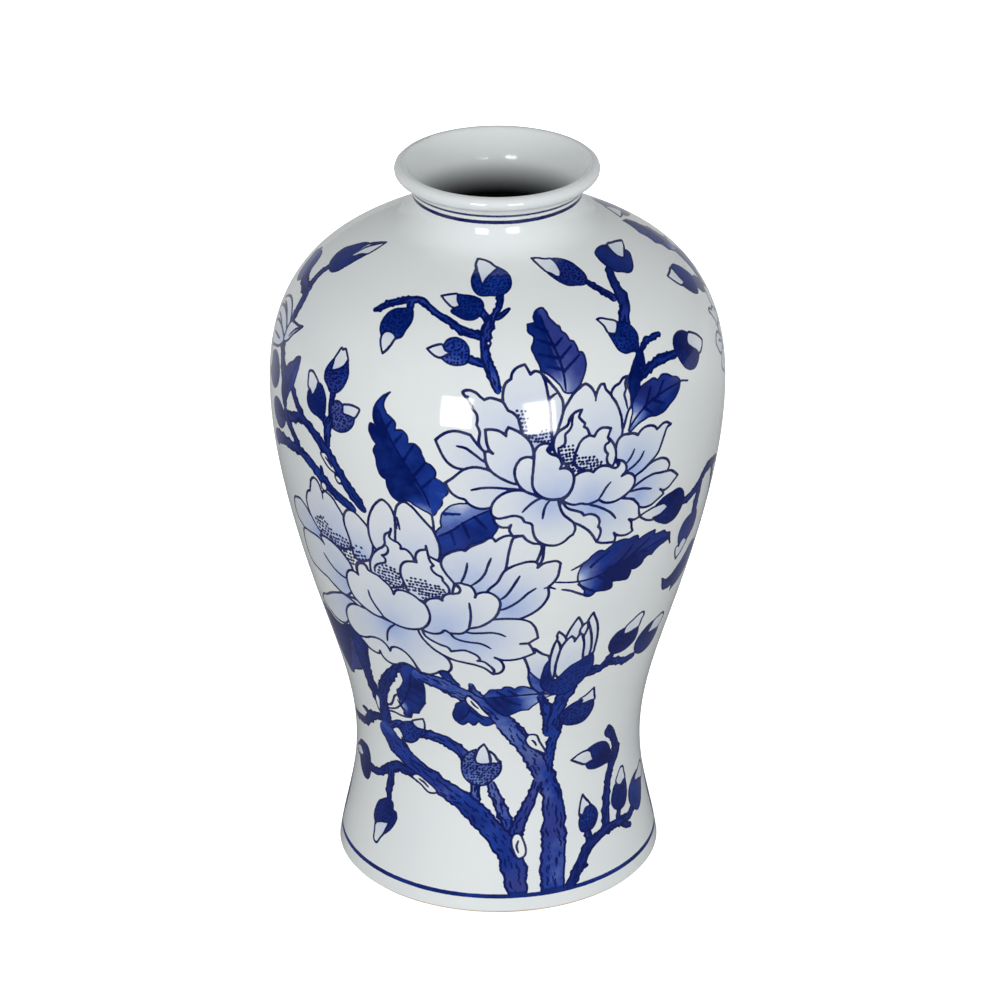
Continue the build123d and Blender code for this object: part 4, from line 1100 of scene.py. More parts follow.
def trunks(p):
    """The two trunks that rise from the foot line, and the fork between them."""
    branch(p, "-53,26 -47,29.5 -40,28.6 -33,28.2 -28,28 -23,26.6 -18,23 -14,19 -13,14", "3 4 5 4.6 5 5.4 5 "
        "5.4 6.4", .3)
    branch(p, "-10.4,7 -10.2,1 -10.6,-6", "3.6 3.6 4.6", .45)
    branch(p, "-3.4,6 -1.4,0 1.4,-7 4.2,-15 5.4,-24", "3.4 4.4 5 5 4", .45)
    branch(p, "17.5,6 15.6,0 13.6,-5 11,-10.5 8.2,-17 6.4,-24", "4 4 5 5.2 5.6 5", .3)
    branch(p, "8.3,-47 7.8,-42 6.6,-35 4.4,-28 -1,-20 -8,-11.5 -16,-4 -25,1.2 -34,6.4 -42,11 -49,16 -56,22",
        "8.6 10 10.8 10.6 9.6 10 9.4 8.8 8.6 9 9.6 9.6", .3, 1.4)
    branch(p, "24.5,-47 24.6,-38 25,-25 25.2,-12 24.4,-3 22.6,5 20.6,12", "10.6 11.6 11.4 10.4 9 7.4 6.6",
        .34, 1.5)
    branch(p, "20.8,10 22.6,19 24.4,27 26,34 25,44", "6.4 5 4.4 5.4 7", .32)
    branch(p, "19.4,9 17,16 12.4,24 8,31 3,39", "7 8.4 7.4 7.4 8.4", .42, 1.1)
    branch(p, "20.6,20.4 17.6,25 15.6,29.4", "1.6 3 3.4", .4, 0)
    knot(p, "13,28.5 14,30.6 16.6,30.4 18,27 20.4,21 17.4,23 14.5,25", "15,28.6 16.2,27 16.8,25.4")
    knot(p, "6.5,-22 7.3,-20.5 9,-20.3 10.6,-23 10.8,-29 9,-29.6 7,-26.4", "8.8,-22.6 8,-25 8.8,-28")
    knot(p, "-39.6,2.6 -37.4,4 -34,2.6 -29.4,-1.4 -32,-2.2 -36,.4", "-37,2.6 -34.6,1.6 -32.4,-.2")
    p.petal("-4.2,23.5 -1.8,21.5 0,18.3 1,17.5 0,16.8 -3.7,16.3 -3.7,20", (-3, 14), ["-3.4,20.6 -3.2,17.4"],
        .5)
    bud(p, "-10,16 -9.8,21 -8.3,25 -6.3,27.3^ -4.8,24.5 -3.8,20 -3.8,16.2 -7,15.4", "-9.8,24.2^ -12.6,22.6 "
        "-15,19.6 -16.3,14.5 -15.5,9 -13,6 -9,4.8 -5,5.4 -2.5,8 0,10.5 1.3,14 1,18^ 0,17 -2.5,16.8 -5,16.4 "
        "-8,16.2 -9.8,16.8^ -10.3,20", .5, 1.3)
    bud(p, "-40,33.5 -36.5,36 -34.3,37^ -33.5,34 -34,30.5 -38,31", "-47,28 -44.5,31.6 -40,33.6^ -38.6,31.2 "
        "-34,30.6^ -33,28.5 -36,26 -38,23 -42,20.5 -44,20.5 -45.8,24", .2)


def left_fork(p):
    """The trunk's upper end, where it splits behind the wider flower."""
    branch(p, "-34,-19.5 -37.5,-18.8 -40,-19", "2.6 2.4 1", .15, 0)
    branch(p, "-22,-16.5 -29,-18.5 -33.4,-21 -37,-25.5 -44,-27.6 -54,-29.6", "4 3.6 5.4 4 3.6 4", .15)
    branch(p, "5,-16.4 -2,-17 -10,-18 -17,-17.5", "4.4 5.6 5 3", .2)
    branch(p, "-5,22 -9,17 -13,11.6 -17,4.6 -20,-3 -20.6,-10", "2.6 4 5.4 5.8 6 5.4", .16)
    branch(p, "-29,29 -28.4,20 -27.4,9 -25.4,-1 -22,-9", "9 8 6.4 6.4 6.4", .1)
    branch(p, "-21,-4 -20.8,-11 -20,-17 -17.6,-22.6 -12,-29.5", "6.6 6.6 7 8 9.4", .12, 1.1)
    knot(p, "-24,-4.4 -22.8,-6 -23,-9 -24,-12.4 -25.2,-9 -25,-6")
    p.reserve("-16.6,-19 -12.4,-19.2 -11.8,-23 -13,-26.4 -14.6,-24")
    branch(p, "28,17.5 28.8,14 31.4,10", "2.4 3 3.6", .35, 0)
    branch(p, "16.4,26.5 17.6,22 21,16", "3 4.6 4", .2, 0)
    branch(p, "4,18.6 10,17.4 16,15 22,12 27,9 33,3.6 38,-2.4 42,-8.6 46,-16 50.5,-27", "5 7 8 7.4 7.4 8 8 "
        "8 7.8 7.6", .4, 1.2)
    knot(p, "25,7.5 26.2,9.2 28,7.5 31,2 32.6,-.6 30,-.3 27,3.2 25.2,5.8", "26.6,7.4 27.4,5.4 29,3.4")


def drooping_pair(p):
    branch(p, "31,8 24,9.4 18,11.6 12,12 8,9.6 4,7 0,4 -4,2.6 -10,3", "2.4 2.8 4.6 4.6 4.4 4 3.2 3.4 4", .15)
    branch(p, "7.6,9 7.6,3 6.6,-1 7,-7.5", "4.2 4 3.6 2.8", .1)
    bud(p, "0,-21 0,-25 1,-29.5 2.4,-30 5,-26.5 8,-21 8.3,-18.2 4,-19 1.2,-20.4", "6,-7 3,-8.5 0,-11 "
        "-1.8,-15 -2,-19 0,-22^ .8,-20.6 3,-19.6 6,-18.6 8.6,-17.9^ 7.5,-21 6,-24.8^ 9,-22 12,-17.5 13,-13 "
        "12.4,-11.4^ 10.6,-11 9.6,-7.6", .1)
    bud(p, "-16.5,4.4 -19.5,6.6 -26,5.4 -29,2.6 -24,1 -19,2.4", "-9,3 -9.4,8 -11,10.8 -16,11.2 -21,9.8 "
        "-25.5,6^ -21,6.4 -17,4.6^ -20,2.4 -24,1.6^ -20,-3.4 -15,-5.6 -11,-4.8 -9,-1", .08, 0)


def low_spray(p):
    """The spray that springs from the foot line at the right."""
    branch(p, "-25.5,-44.5 -22.6,-45 -20.8,-45", "3 2 1", .2, 0)
    branch(p, "3.4,-33.6 7,-36.2 10.5,-37.6", "3 3 1.8", .15, 0)
    branch(p, "2,-32.6 2.6,-29 4,-26", "3.4 3 3", .15, 0)
    branch(p, "-17.6,-29 -17.4,-33 -17.6,-36.5", "3.4 3.6 4", .2, 0)
    branch(p, "-7,-31.6 -5.2,-22 -3.4,-13 -1,-4 2.4,1.6 1.6,6 -1,12 -3.4,16 -6,19.4", "4.8 4.4 4 4.2 5.4 "
        "4.4 3.6 3 2", .12)
    branch(p, "-31.5,-52.5 -27,-46.6 -22,-40.4 -17.4,-36 -12,-33.8 -6,-32.4 0,-32.4 6,-33 11,-33 16,-30",
        "5 4.8 4.6 4.8 4 4.2 3.6 3.4 3.6 3.4", .15)
    branch(p, "-6,19 -6.4,17.6 -4.6,14.4", "1.8 2.6 2.8", .12, 0)
    bud(p, "-25.2,8.3^ -21,10.5 -16.8,10.8 -14.6,9.8 -13.8,7 -12.8,4.6 -15,4.2 -17,3.7 -21,5.6",
        "-17,11 -14,12.4 -10,12.6 -6,11 -3.4,8.2 -1.8,4.8 .4,2 0,-1 -4,-.6 -8,-.8 -12,-.4 -15.5,1 "
        "-17.2,3.8^ -14.5,4.2 -12.6,4.6^ -13.8,6.8 -15,9.6", .06)
    bud(p, "-18.4,-11.5^ -17,-13.6 -14.6,-18 -17,-18.4 -19.4,-21.4 -20.2,-21.6 -20,-16", "-14.7,-17.6 "
        "-12.4,-19.4 -10.8,-23 -12,-26.6 -14.6,-29 -17.4,-29.4 -20.8,-28.8 -21.6,-25 -20.2,-20.6^ "
        "-19.4,-22 -17.4,-18.8 -15.4,-18.2", .1)
    bud(p, "7.4,-7.8 5,-10 3,-13.6 4.4,-15.6 7,-16.4 9,-15.4 10.6,-15 10,-11 9,-8.2", "2.6,-14.5 -.2,-18 "
        "-1.2,-22 .4,-25.4 4,-27.4 8,-27 11,-23.6 11.6,-19 10.8,-14.6^ 9,-15.8 6.6,-16.6 4.4,-15.8", .06)
    bud(p, "20,-20 26,-18.6 34,-18 36,-22 32,-25 26,-24", "13,-23.6 16,-20 20,-18.4 25,-18^ 21,-21.4 "
        "26,-23 31,-25^ 28,-29.6 25,-33 20,-34.8 16,-32.4 13,-28.6", .15, 0)


def side_blossom(p):
    """The pale blossom that turns away at the left edge, and the bud under it."""
    branch(p, "24,25 18,24.6 12,24.6 8,25.5", "3.4 3.4 3.6 3", .2, 0)
    p.cobalt("9,27 6,31.5 2,34 -3,34.4 -8,32 -13,29.6^ -9,27 -5,23 0,20.4 4,20 8,22", .3, outline=0.6)
    branch(p, "44,-24 41,-15 37,-9 33,-4 30,0", "4.6 4.4 4 3.8 3.4", .15)
    petal = p.petal
    petal("30,6 26,11 20,14 13,14.6 7,12.4 3,9.4^ 6,7 14,6 25,3", (30, 2), ["22,8.6 14,10.4 8,10"], .5)
    petal("30,3 25,7 18,9 10,8.6 4,6.2 -1,2.4^ 2,0 3,-2 12,-3 22,-2", (30, 0), ["22,3 14,4.4 6,3.4"], .5)
    petal("30,0 24,2.6 15,2.8 8,.6 4,-3.4^ 6,-5 6,-8^ 12,-8.6 20,-6.6 27,-3.6", (30, -1),
        ["24,-1.6 17,-2.4 11,-3.6"], .5)
    petal("29.6,10 33,10.6 37,11 41,12^ 39,9 36.6,6 34.6,2.6 32,.4 30,0 28.6,4", (30, 2),
        ["40,11.4 36,8 33.6,4"], .4)
    bud(p, "18,-12 13,-9.6 8,-9 4.4,-10.6^ 5,-14 9,-18 15,-20 18,-19", "17.6,-11.6^ 21,-8.6 26,-7.6 "
        "31,-9.4 34.4,-13.4 34,-18.6 30,-22.4 24.6,-23.2 19.4,-21.4 15.4,-20^ 18,-18 19,-15", .12)


def side_leaf(p):
    """The upright leaf on the right shoulder, seen nearly edge on."""
    branch(p, "-13,34 -9,31.4 -4.4,26.6", "3.4 3.2 3.4", .15, 0)
    branch(p, "5,2 1,10 -2.4,18 -4.4,26 -2.6,33 .6,39.6 3.4,45", "6 5.4 4.6 4.4 3.6 3.4 3", .15)
    leaf(p, "3.4,44 .4,45.6 -2.6,49^ -2.4,52.4 -4,56^ -2.4,59.6 -1.6,63.6^ 1,66.4 4.4,70.4^ 8.4,68 11,63^ "
        "11.6,59 14,55.4^ 13,51.4 12.4,48^ 9,45", "3.4,44 4.4,52 5,60 4.4,70", ["4.2,50 9,54", "4.8,57 "
        "9.6,61", "4.2,49 .4,53", "4.8,56 .6,60"], (3.4, 43), 8, (.1, .3))


def lone_bud(p):
    """One small bud that grows upwards from its stem at the origin."""
    bud(p, "-3.4,9 -2.6,12 -.6,15 .8,17.6^ 2.6,14.6 4,11.4 3.6,9 1.4,8.4 -1,8.2", "0,-1 -3.6,.8 -5.4,4 "
        "-5.2,7.6 -3.4,10.4^ -1.8,8.6 .6,8.2 3.8,10.2^ 5.2,7.6 5.2,4 3.4,.8", .16)


def lone_leaf(p):
    """One small toothed leaf that grows upwards from the origin."""
    leaf(p, "0,-1 3,1.4 5.4,5^ 7,7 7.4,11.4^ 8.8,14.4 7.8,18.6^ 7.6,22.6 4.4,27.4 .6,32^ -2,28.4 "
        "-4.4,24.4^ -6.2,20.4 -6,16.4^ -7.2,12.4 -5.8,8.4^ -4.6,4.4 -2.2,1", "0,0 .8,10 .6,20 .6,31",
        [".8,8 4.4,12", ".8,14 4.8,18.4", ".8,10 -3.6,13.4", ".8,17 -3.2,20"], (0, -1), 10, (.06, .26))


def side_shoot(p):
    """A young shoot from the foot line, between the two paintings."""
    branch(p, "2,-92 -1,-76 1.6,-60 -2,-42 .6,-24 3,-8 .6,10 -2,26 1.4,42 .4,54", "6.4 5.6 5.4 5 5 4.6 4.2 "
        "4 3.6 3", .24, 1)
    branch(p, ".6,-24 8,-17 13,-9 14.4,-1", "3.6 3.4 3.2 2.8", .2, 0)
    branch(p, ".8,10 -6,15 -11,22 -13,29", "3.4 3.2 3 2.8", .2, 0)
    branch(p, "-1,30 6,34 11,41", "3.2 3 2.6", .2, 0)


# ---- materials ---------------------------------------------------------------

def tree_of(name):
    """A new node material, its node tree and its shader."""
    material = bpy.data.materials.new(name)
    material.use_nodes = True
    tree = material.node_tree
    shader = tree.nodes["Principled BSDF"]
    return material, tree, shader


def feed(tree, socket, source):
    """Links a socket to an input, or sets the input to a plain value."""
    if isinstance(source, bpy.types.NodeSocket):
        tree.links.new(source, socket)
    else:
        socket.default_value = source


def math_node(tree, operation, *values, clamp=False):
    """One step of arithmetic on sockets or plain values."""
    node = tree.nodes.new("ShaderNodeMath")
    node.operation = operation
    node.use_clamp = clamp
    for socket, value in zip(node.inputs, values):
        feed(tree, socket, value)
    return node.outputs[0]


def ramp_between(tree, value, low, high, start=0.0, end=1.0):
    """A smooth step of the value from low to high."""
    node = tree.nodes.new("ShaderNodeMapRange")
    node.interpolation_type = "SMOOTHSTEP"
    for socket, item in zip(node.inputs, (value, low, high, start, end)):
        feed(tree, socket, item)
    return node.outputs[0]


mix_first = 6                 # where a Mix node keeps its two colours
mix_second = 7
mix_result = 2                # and its mixed colour


def mix_colour(tree, factor, first, second):
    """The first colour where the factor is 0, and the second where it is 1."""
    node = tree.nodes.new("ShaderNodeMix")
    node.data_type = "RGBA"
    feed(tree, node.inputs["Factor"], factor)
    feed(tree, node.inputs[mix_first], first)
    feed(tree, node.inputs[mix_second], second)
    return node.outputs[mix_result]


def attribute(tree, name):
    """A field of paint kept on the mesh."""
    node = tree.nodes.new("ShaderNodeAttribute")
    node.attribute_name = name
    return node.outputs["Fac"]


def noise(tree, scale, detail, rough=0.5):
    """Noise in the object's own metres, so it stays put when the view turns."""
    coordinates = tree.nodes.new("ShaderNodeTexCoord")
    node = tree.nodes.new("ShaderNodeTexNoise")
    node.inputs["Scale"].default_value = scale
    node.inputs["Detail"].default_value = detail
    node.inputs["Roughness"].default_value = rough
    tree.links.new(coordinates.outputs["Object"], node.inputs["Vector"])
    return node.outputs["Fac"]


def bump(tree, height, distance):
    """A normal that follows the height, up to the distance in metres."""
    node = tree.nodes.new("ShaderNodeBump")
    node.inputs["Distance"].default_value = distance
    node.inputs["Strength"].default_value = 1.0
    feed(tree, node.inputs["Height"], height)
    return node.outputs["Normal"]


def linear(part):
    """One channel of a screen colour, between 0 and 255, as linear light."""
    if part <= 10:
        return part / 255 / 12.92
    return ((part / 255 + 0.055) / 1.055) ** 2.4


def colour(red, green, blue):
    """A linear colour from screen values between 0 and 255."""
    return linear(red), linear(green), linear(blue), 1.0


white_glaze = colour(232, 236, 236)
cool_glaze = colour(228, 233, 234)
wash_blue = colour(160, 181, 228)
ink_blue = colour(1, 14, 76)
ink_pale = colour(6, 26, 100)
deep_blue = colour(0, 21, 90)
mid_blue = colour(26, 58, 150)
violet = colour(62, 62, 122)
pale_blue = colour(120, 142, 200)
faint_blue = colour(206, 214, 232)
# painted shade: near black for the inside of the neck, paler grey for the cavity below it
painted_neck_shadow = colour(30, 31, 33)
painted_cavity_shade = colour(168, 170, 172)
glaze_ripple = 0.00002        # heights of the surface relief, in metres
clay_grain = 0.00006


def glaze_tint(tree):
    """White glaze with slow drifts of a cooler white."""
    drift = ramp_between(tree, noise(tree, 14, 3), 0.4, 0.7)
    return mix_colour(tree, drift, white_glaze, cool_glaze)


def glaze_finish(tree, shader, base, rough_low=0.06, rough_high=0.11):
    """What all the glazes share: a glossy surface with a very soft ripple."""
    rough = ramp_between(tree, noise(tree, 40, 3), 0.3, 0.7, rough_low, rough_high)
    feed(tree, shader.inputs["Roughness"], rough)
    shader.inputs["IOR"].default_value = 1.5
    feed(tree, shader.inputs["Base Color"], base)
    feed(tree, shader.inputs["Normal"], bump(tree, noise(tree, 55, 2), glaze_ripple))


def centred_noise(tree, scale, detail, size):
    """Noise about zero, as wide as size."""
    return spread(tree, noise(tree, scale, detail), size)


def spread(tree, value, size):
    """A value between 0 and 1, moved to lie about zero and scaled."""
    centred = math_node(tree, "SUBTRACT", value, 0.5)
    return math_node(tree, "MULTIPLY", centred, size)


def cobalt_ramp(tree, tone):
    """The blues of the painting, from the darkest at tone 0 to the palest at 1."""
    ramp = tree.nodes.new("ShaderNodeValToRGB")
    stops = ramp.color_ramp.elements
    stops[0].position = 0.0
    stops[0].color = deep_blue
    stops[1].position = 1.0
    stops[1].color = faint_blue
    for position, blue in ((0.35, mid_blue), (0.7, pale_blue)):
        stops.new(position).color = blue
    tree.links.new(tone, ramp.inputs["Fac"])
    return ramp.outputs["Color"]


def painted_glaze():
    """White glaze over cobalt painting, from the paint kept on the mesh."""
    material, tree, shader = tree_of("painted glaze")
    ragged = centred_noise(tree, 900, 3, 0.30)
    wobble = centred_noise(tree, 220, 2, 0.25)
    offset = math_node(tree, "ADD", ragged, wobble)
    ink = math_node(tree, "ADD", attribute(tree, "ink"), offset)
    cobalt = math_node(tree, "ADD", attribute(tree, "cobalt"), offset)
    ink_cover = ramp_between(tree, ink, 0.03, 0.25, 1.0, 0.0)
    cobalt_cover = ramp_between(tree, cobalt, -0.09, 0.11, 1.0, 0.0)
    patchy = noise(tree, 60, 4, 0.6)
    speckle = noise(tree, 600, 3, 0.6)
    tint = glaze_tint(tree)
    uneven = ramp_between(tree, patchy, 0.25, 0.75, 0.8, 1.15)
    washed = math_node(tree, "MULTIPLY", attribute(tree, "wash"), uneven)
    washed = math_node(tree, "MINIMUM", washed, 1.0)
    base = mix_colour(tree, washed, tint, wash_blue)
    tone = attribute(tree, "tone")
    streaked = math_node(tree, "ADD", tone, spread(tree, patchy, 0.75))
    greyed = ramp_between(tree, noise(tree, 24, 2), 0.48, 0.62, 0.0, 0.5)
    greyed = math_node(tree, "MULTIPLY", greyed, ramp_between(tree, tone, 0.12, 0.3))
    greyed = math_node(tree, "MULTIPLY", greyed, ramp_between(tree, tone, 0.75, 0.5))
    painted = mix_colour(tree, greyed, cobalt_ramp(tree, streaked), violet)
    base = mix_colour(tree, cobalt_cover, base, painted)
    brush = mix_colour(tree, ramp_between(tree, speckle, 0.35, 0.7), ink_blue, ink_pale)
    strength = ramp_between(tree, noise(tree, 130, 3), 0.3, 0.7, 0.95, 1.0)
    base = mix_colour(tree, math_node(tree, "MULTIPLY", ink_cover, strength), base, brush)
    glaze_finish(tree, shader, base)
    return material


cavity_start = 0.012          # the painted shadow in the neck lifts to a paler painted shade between these depths below its darkest level, in metres
cavity_end = 0.07             # below its darkest level, in metres


def clear_glaze(name, dark=None):
    """The same glaze where nothing is painted, on the base and in the mouth.

    With dark, a pair of heights, painted shade darkens its colour from the upper height to the lower,
    standing in for the shade inside a narrow neck, and deeper in the cavity the painted shade lifts to grey."""
    material, tree, shader = tree_of(name)
    tint = glaze_tint(tree)
    # painted shade: the colour goes near black below the lip and paler grey deeper inside
    if dark:
        place = tree.nodes.new("ShaderNodeTexCoord")
        split = tree.nodes.new("ShaderNodeSeparateXYZ")
        tree.links.new(place.outputs["Object"], split.inputs["Vector"])
        lit = ramp_between(tree, split.outputs["Z"], dark[0], dark[1])
        deep = ramp_between(tree, split.outputs["Z"], dark[0] - cavity_start, dark[0] - cavity_end)
        shade = mix_colour(tree, deep, painted_neck_shadow, painted_cavity_shade)
        tint = mix_colour(tree, lit, shade, tint)
    glaze_finish(tree, shader, tint, 0.08, 0.14)
    return material


def bare_clay(name, shade, warm):
    """Unglazed fired porcelain: matt, faintly granular."""
    material, tree, shader = tree_of(name)
    base = mix_colour(tree, ramp_between(tree, noise(tree, 30, 4), 0.35, 0.7), shade, warm)
    feed(tree, shader.inputs["Base Color"], base)
    rough = ramp_between(tree, noise(tree, 300, 3), 0.3, 0.7, 0.62, 0.8)
    feed(tree, shader.inputs["Roughness"], rough)
    feed(tree, shader.inputs["Normal"], bump(tree, noise(tree, 900, 4), clay_grain))
    return material


# ---- the bands and what is painted on them -----------------------------------

seams = [0, 66, 105, 150, 196, 240, 279]      # heights, in mm, where bands meet
names = ["foot", "waist", "flank", "chest", "belly", "brow", "neck"]

lows = [0.0] + [profile.along_at(height) for height in seams[1:]]
highs = lows[1:] + [profile.length]
canvases = [Canvas("outer_glaze_" + name, low, high) for name, low, high in zip(names, lows, highs)]


def paint_at(azimuth, height, tilt=0, size=1, flip=False):
    """A painter for one motif.  Azimuth 0 is the side that the photo shows."""
    return Painter(canvases, Place(azimuth, height, tilt, size, flip))


def painted_side(turn=0, flip=False):
    """The flowering branches of the photo, turned round the vase or mirrored."""
    way = -1 if flip else 1

    def put(motif, azimuth, height):
        motif(paint_at(turn + way * azimuth, height, flip=flip))

    put(drooping_pair, -55, 48.7)
    put(low_spray, 52, 60.7)
    put(edge_leaf, -62, 123.9)
    put(slit_leaf, -30, 100)
    put(lobe_leaf, -30, 100)
    put(left_fork, -30, 100)
    put(trunks, 0, 55.7)
    put(low_leaf, 24, 128.7)
    put(half_open, 24, 128.7)
    put(edge_buds, 35, 162.4)
    put(hanging_pair, 62, 211.5)
    put(lance_leaf, 35, 162.4)
    put(centre_spray, 0, 285.1)
    put(crown_leaf, 0, 285.1)
    put(crest_spray, 20, 290.9)
    put(right_spray, 45, 258.1)
    if not flip:
        put(open_twig, -48, 278.1)
    put(left_branches, -45, 226.5)
    put(round_bud, -48, 278.1)
    put(great_leaf, -14, 236.5)
    put(round_leaf, 16.5, 236)
    put(full_peony, -21.5, 165.4)
    put(open_peony, 16.5, 236)


def painted_gap(azimuth, way):
    """A young shoot with buds and leaves, between the two painted sides."""
    side_shoot(paint_at(azimuth, 100, flip=way < 0))
    buds = ((lone_bud, 14.4, 99, -8), (lone_bud, -13, 128, 12), (lone_bud, 0.4, 152, -4))
    for motif, across, height, tilt in buds + ((lone_leaf, 11, 140, -42),):
        radius = profile.at([profile.along_at(height)])[0][0, 0]
        aside = math.degrees(way * across / radius)
        motif(paint_at(azimuth + aside, height, way * tilt, flip=way < 0))


painted_side(180, flip=True)
painted_side()
painted_gap(90, 1)
painted_gap(-90, -1)
side_leaf(paint_at(95, 246.6))
open_peony(paint_at(96.5, 250, size=0.6))
side_blossom(paint_at(-92, 258.1))
ring(canvases, 8.3, 2.0, ground=True)
ring(canvases, 316.9, 1.5)
ring(canvases, 320.0, 1.2)

painted = painted_glaze()
clear = clear_glaze("clear glaze")
# the lining's colour holds painted shade inside the neck and the cavity
lining = clear_glaze("lining glaze", dark=(0.3015, 0.320))
clay = bare_clay("fired clay body", colour(226, 220, 210), colour(214, 206, 194))
biscuit = bare_clay("bare foot ring", colour(222, 208, 188), colour(206, 186, 160))


def add_piece(name, mesh, material, node_name):
    """A visible piece that stands in for a node of the CAD model."""
    mesh.materials.append(material)
    piece = bpy.data.objects.new(name, mesh)
    bpy.context.collection.objects.link(piece)
    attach(piece, "root")
    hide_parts(node_name)


for canvas in canvases:
    add_piece(canvas.name, shell_mesh(canvas), painted, "outer_glaze")

lining_cut = (0, 0, 0.165)    # the lining is cut here, at half the vase's height


def lining_part(name, upper):
    """The inner glaze above or below the cut, from the node's own surface.

    Two short pieces leave room for finer images of the painted bands."""
    cut = bmesh.new()
    cut.from_mesh(nodes["inner_glaze"].data)
    bmesh.ops.remove_doubles(cut, verts=cut.verts, dist=1e-6)
    everything = cut.verts[:] + cut.edges[:] + cut.faces[:]
    made = bmesh.ops.bisect_plane(cut, geom=everything, plane_co=lining_cut, plane_no=(0, 0, 1),
                                  clear_inner=upper, clear_outer=not upper)
    rim = [item for item in made["geom_cut"] if isinstance(item, bmesh.types.BMEdge)]
    bmesh.ops.bridge_loops(cut, edges=rim)
    bmesh.ops.recalc_face_normals(cut, faces=cut.faces)
    mesh = bpy.data.meshes.new(name)
    cut.to_mesh(mesh)
    cut.free()
    add_piece(name, mesh, lining, "inner_glaze")


lining_part("inner_glaze_lower", False)
lining_part("inner_glaze_upper", True)

for name, node in nodes.items():
    if name in ("outer_glaze", "inner_glaze"):
        continue
    finish = {"foot_ring": biscuit, "base_glaze": clear}.get(name, clay)
    node.data.materials.clear()
    node.data.materials.append(finish)

# ---- studio ------------------------------------------------------------------

floor_half = 6                # half the floor's side, in metres
window_width = 0.44
window_height = 0.585
window_strength = 14
front_fill = 1.85             # the world's light from the camera's side
back_fill = 0.75              # and from behind, which isn't mirrored
ambient = 0.34                # and from all round
fall_above = -0.4             # how it changes towards the zenith
room_dim = 0.96               # how much darker the room is where it is mirrored

def window(name, centre, towards):
    """A soft light: a plain upright rectangle facing a point."""
    light = bpy.data.lights.new(name, "AREA")
    light.shape = "RECTANGLE"
    light.size = window_width
    light.size_y = window_height
    light.energy = window_strength
    lamp = bpy.data.objects.new(name, light)
    bpy.context.collection.objects.link(lamp)
    lamp.location = centre
    lamp.rotation_euler = (Vector(towards) - Vector(centre)).to_track_quat("-Z", "Y").to_euler()
    lamp.visible_diffuse = False


floor_mesh = bpy.data.meshes.new("floor")
floor_corners = [(x * floor_half, y * floor_half, 0) for x, y in ((-1, -1), (1, -1), (1, 1), (-1, 1))]
floor_mesh.from_pydata(floor_corners, [], [(0, 1, 2, 3)])
floor = bpy.data.objects.new("floor", floor_mesh)
bpy.context.collection.objects.link(floor)
floor_material, floor_tree, floor_shader = tree_of("pale floor")
floor_shader.inputs["Roughness"].default_value = 0.9
floor_shader.inputs["Specular IOR Level"].default_value = 0
floor_mesh.materials.append(floor_material)

# The camera sees the floor as pure white. Where the glaze mirrors it, the floor's colour is painted bright
# behind the vase and dark in front, a painted reflection as if a white backdrop stood in a dark room.
light_path = floor_tree.nodes.new("ShaderNodeLightPath")
floor_shader.inputs["Emission Color"].default_value = (1, 1, 1, 1)
feed(floor_tree, floor_shader.inputs["Emission Strength"], light_path.outputs["Is Camera Ray"])
spot = floor_tree.nodes.new("ShaderNodeTexCoord")
distance = floor_tree.nodes.new("ShaderNodeVectorMath")
distance.operation = "LENGTH"
floor_tree.links.new(spot.outputs["Object"], distance.inputs[0])
far = ramp_between(floor_tree, distance.outputs["Value"], 0.22, 0.42)
far_mirrored = math_node(floor_tree, "MULTIPLY", far, light_path.outputs["Is Glossy Ray"])
in_front = floor_tree.nodes.new("ShaderNodeSeparateXYZ")
floor_tree.links.new(spot.outputs["Object"], in_front.inputs["Vector"])
facing = ramp_between(floor_tree, in_front.outputs["Y"], 0.6, 0.0)
near_mirrored = math_node(floor_tree, "MULTIPLY", facing, light_path.outputs["Is Glossy Ray"])
# painted reflection: the floor is darker only where the glaze mirrors it
near = mix_colour(floor_tree, near_mirrored, (0.8, 0.8, 0.8, 1), (0.25, 0.25, 0.26, 1))
dim = math_node(floor_tree, "MULTIPLY", far_mirrored, facing)
floor_base = mix_colour(floor_tree, dim, near, (0.08, 0.08, 0.09, 1))
feed(floor_tree, floor_shader.inputs["Base Color"], floor_base)

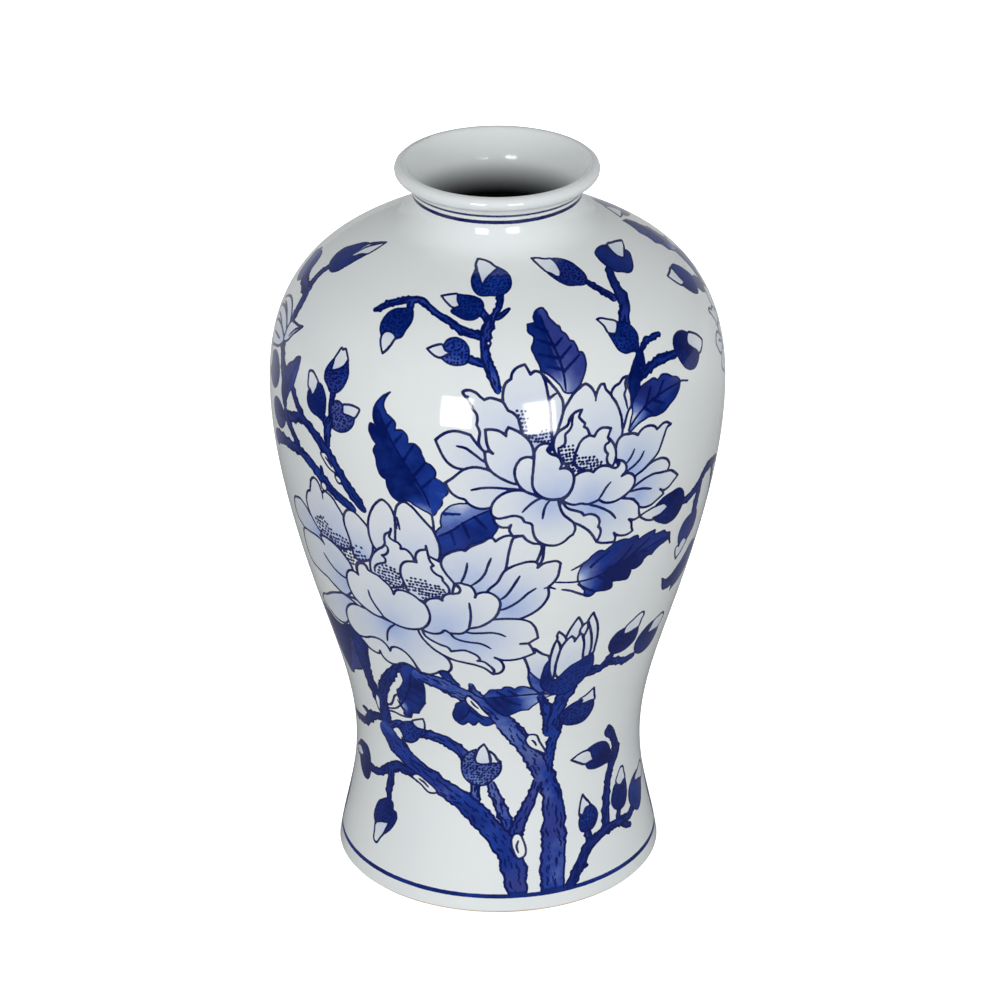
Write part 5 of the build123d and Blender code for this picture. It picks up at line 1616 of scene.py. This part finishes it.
window("left window", (-0.564, -1.587, 0.444), (-0.017, -0.094, 0.256))
window("right window", (0.586, -1.588, 0.342), (0.018, -0.095, 0.254))


def studio_world():
    """Soft light all round, strongest from the camera's side.

    The camera itself sees plain white behind the vase."""
    world = bpy.data.worlds.new("soft studio")
    world.use_nodes = True
    tree = world.node_tree
    coordinates = tree.nodes.new("ShaderNodeTexCoord")
    split = tree.nodes.new("ShaderNodeSeparateXYZ")
    tree.links.new(coordinates.outputs["Generated"], split.inputs["Vector"])
    near_side = math_node(tree, "MULTIPLY", split.outputs["Y"], -1.0, clamp=True)
    front = math_node(tree, "MULTIPLY", near_side, front_fill)
    above = math_node(tree, "MULTIPLY", split.outputs["Z"], fall_above)
    soft = math_node(tree, "ADD", math_node(tree, "ADD", front, above), ambient)
    mirrored = tree.nodes.new("ShaderNodeLightPath").outputs["Is Glossy Ray"]
    behind = math_node(tree, "MULTIPLY", split.outputs["Y"], back_fill, clamp=True)
    behind = math_node(tree, "MULTIPLY", behind, math_node(tree, "SUBTRACT", 1.0, mirrored))
    soft = math_node(tree, "ADD", soft, behind)
    room = ramp_between(tree, split.outputs["Y"], 0.8, 0.1, 0.0, room_dim)
    dim = math_node(tree, "SUBTRACT", 1.0, math_node(tree, "MULTIPLY", mirrored, room))
    lit = math_node(tree, "MULTIPLY", soft, dim)
    seen = tree.nodes.new("ShaderNodeLightPath").outputs["Is Camera Ray"]
    strength = math_node(tree, "MAXIMUM", lit, seen)
    background = tree.nodes["Background"]
    background.inputs["Color"].default_value = (0.985, 0.992, 1, 1)
    feed(tree, background.inputs["Strength"], strength)
    return world


bpy.context.scene.world = studio_world()
bpy.context.scene.view_settings.view_transform = "Standard"

# The camera's place and lens come from matching the outline in the photo.
camera_data = bpy.data.cameras.new("camera")
camera_data.sensor_width = 36
camera_data.lens = 171.112
camera = bpy.data.objects.new("camera", camera_data)
bpy.context.collection.objects.link(camera)
camera.location = (0, -1.89059, 1.08519)
camera.rotation_mode = "XYZ"
camera.rotation_euler = [math.radians(angle) for angle in (64.1475, 0.0897, -0.0733)]
bpy.context.scene.camera = camera
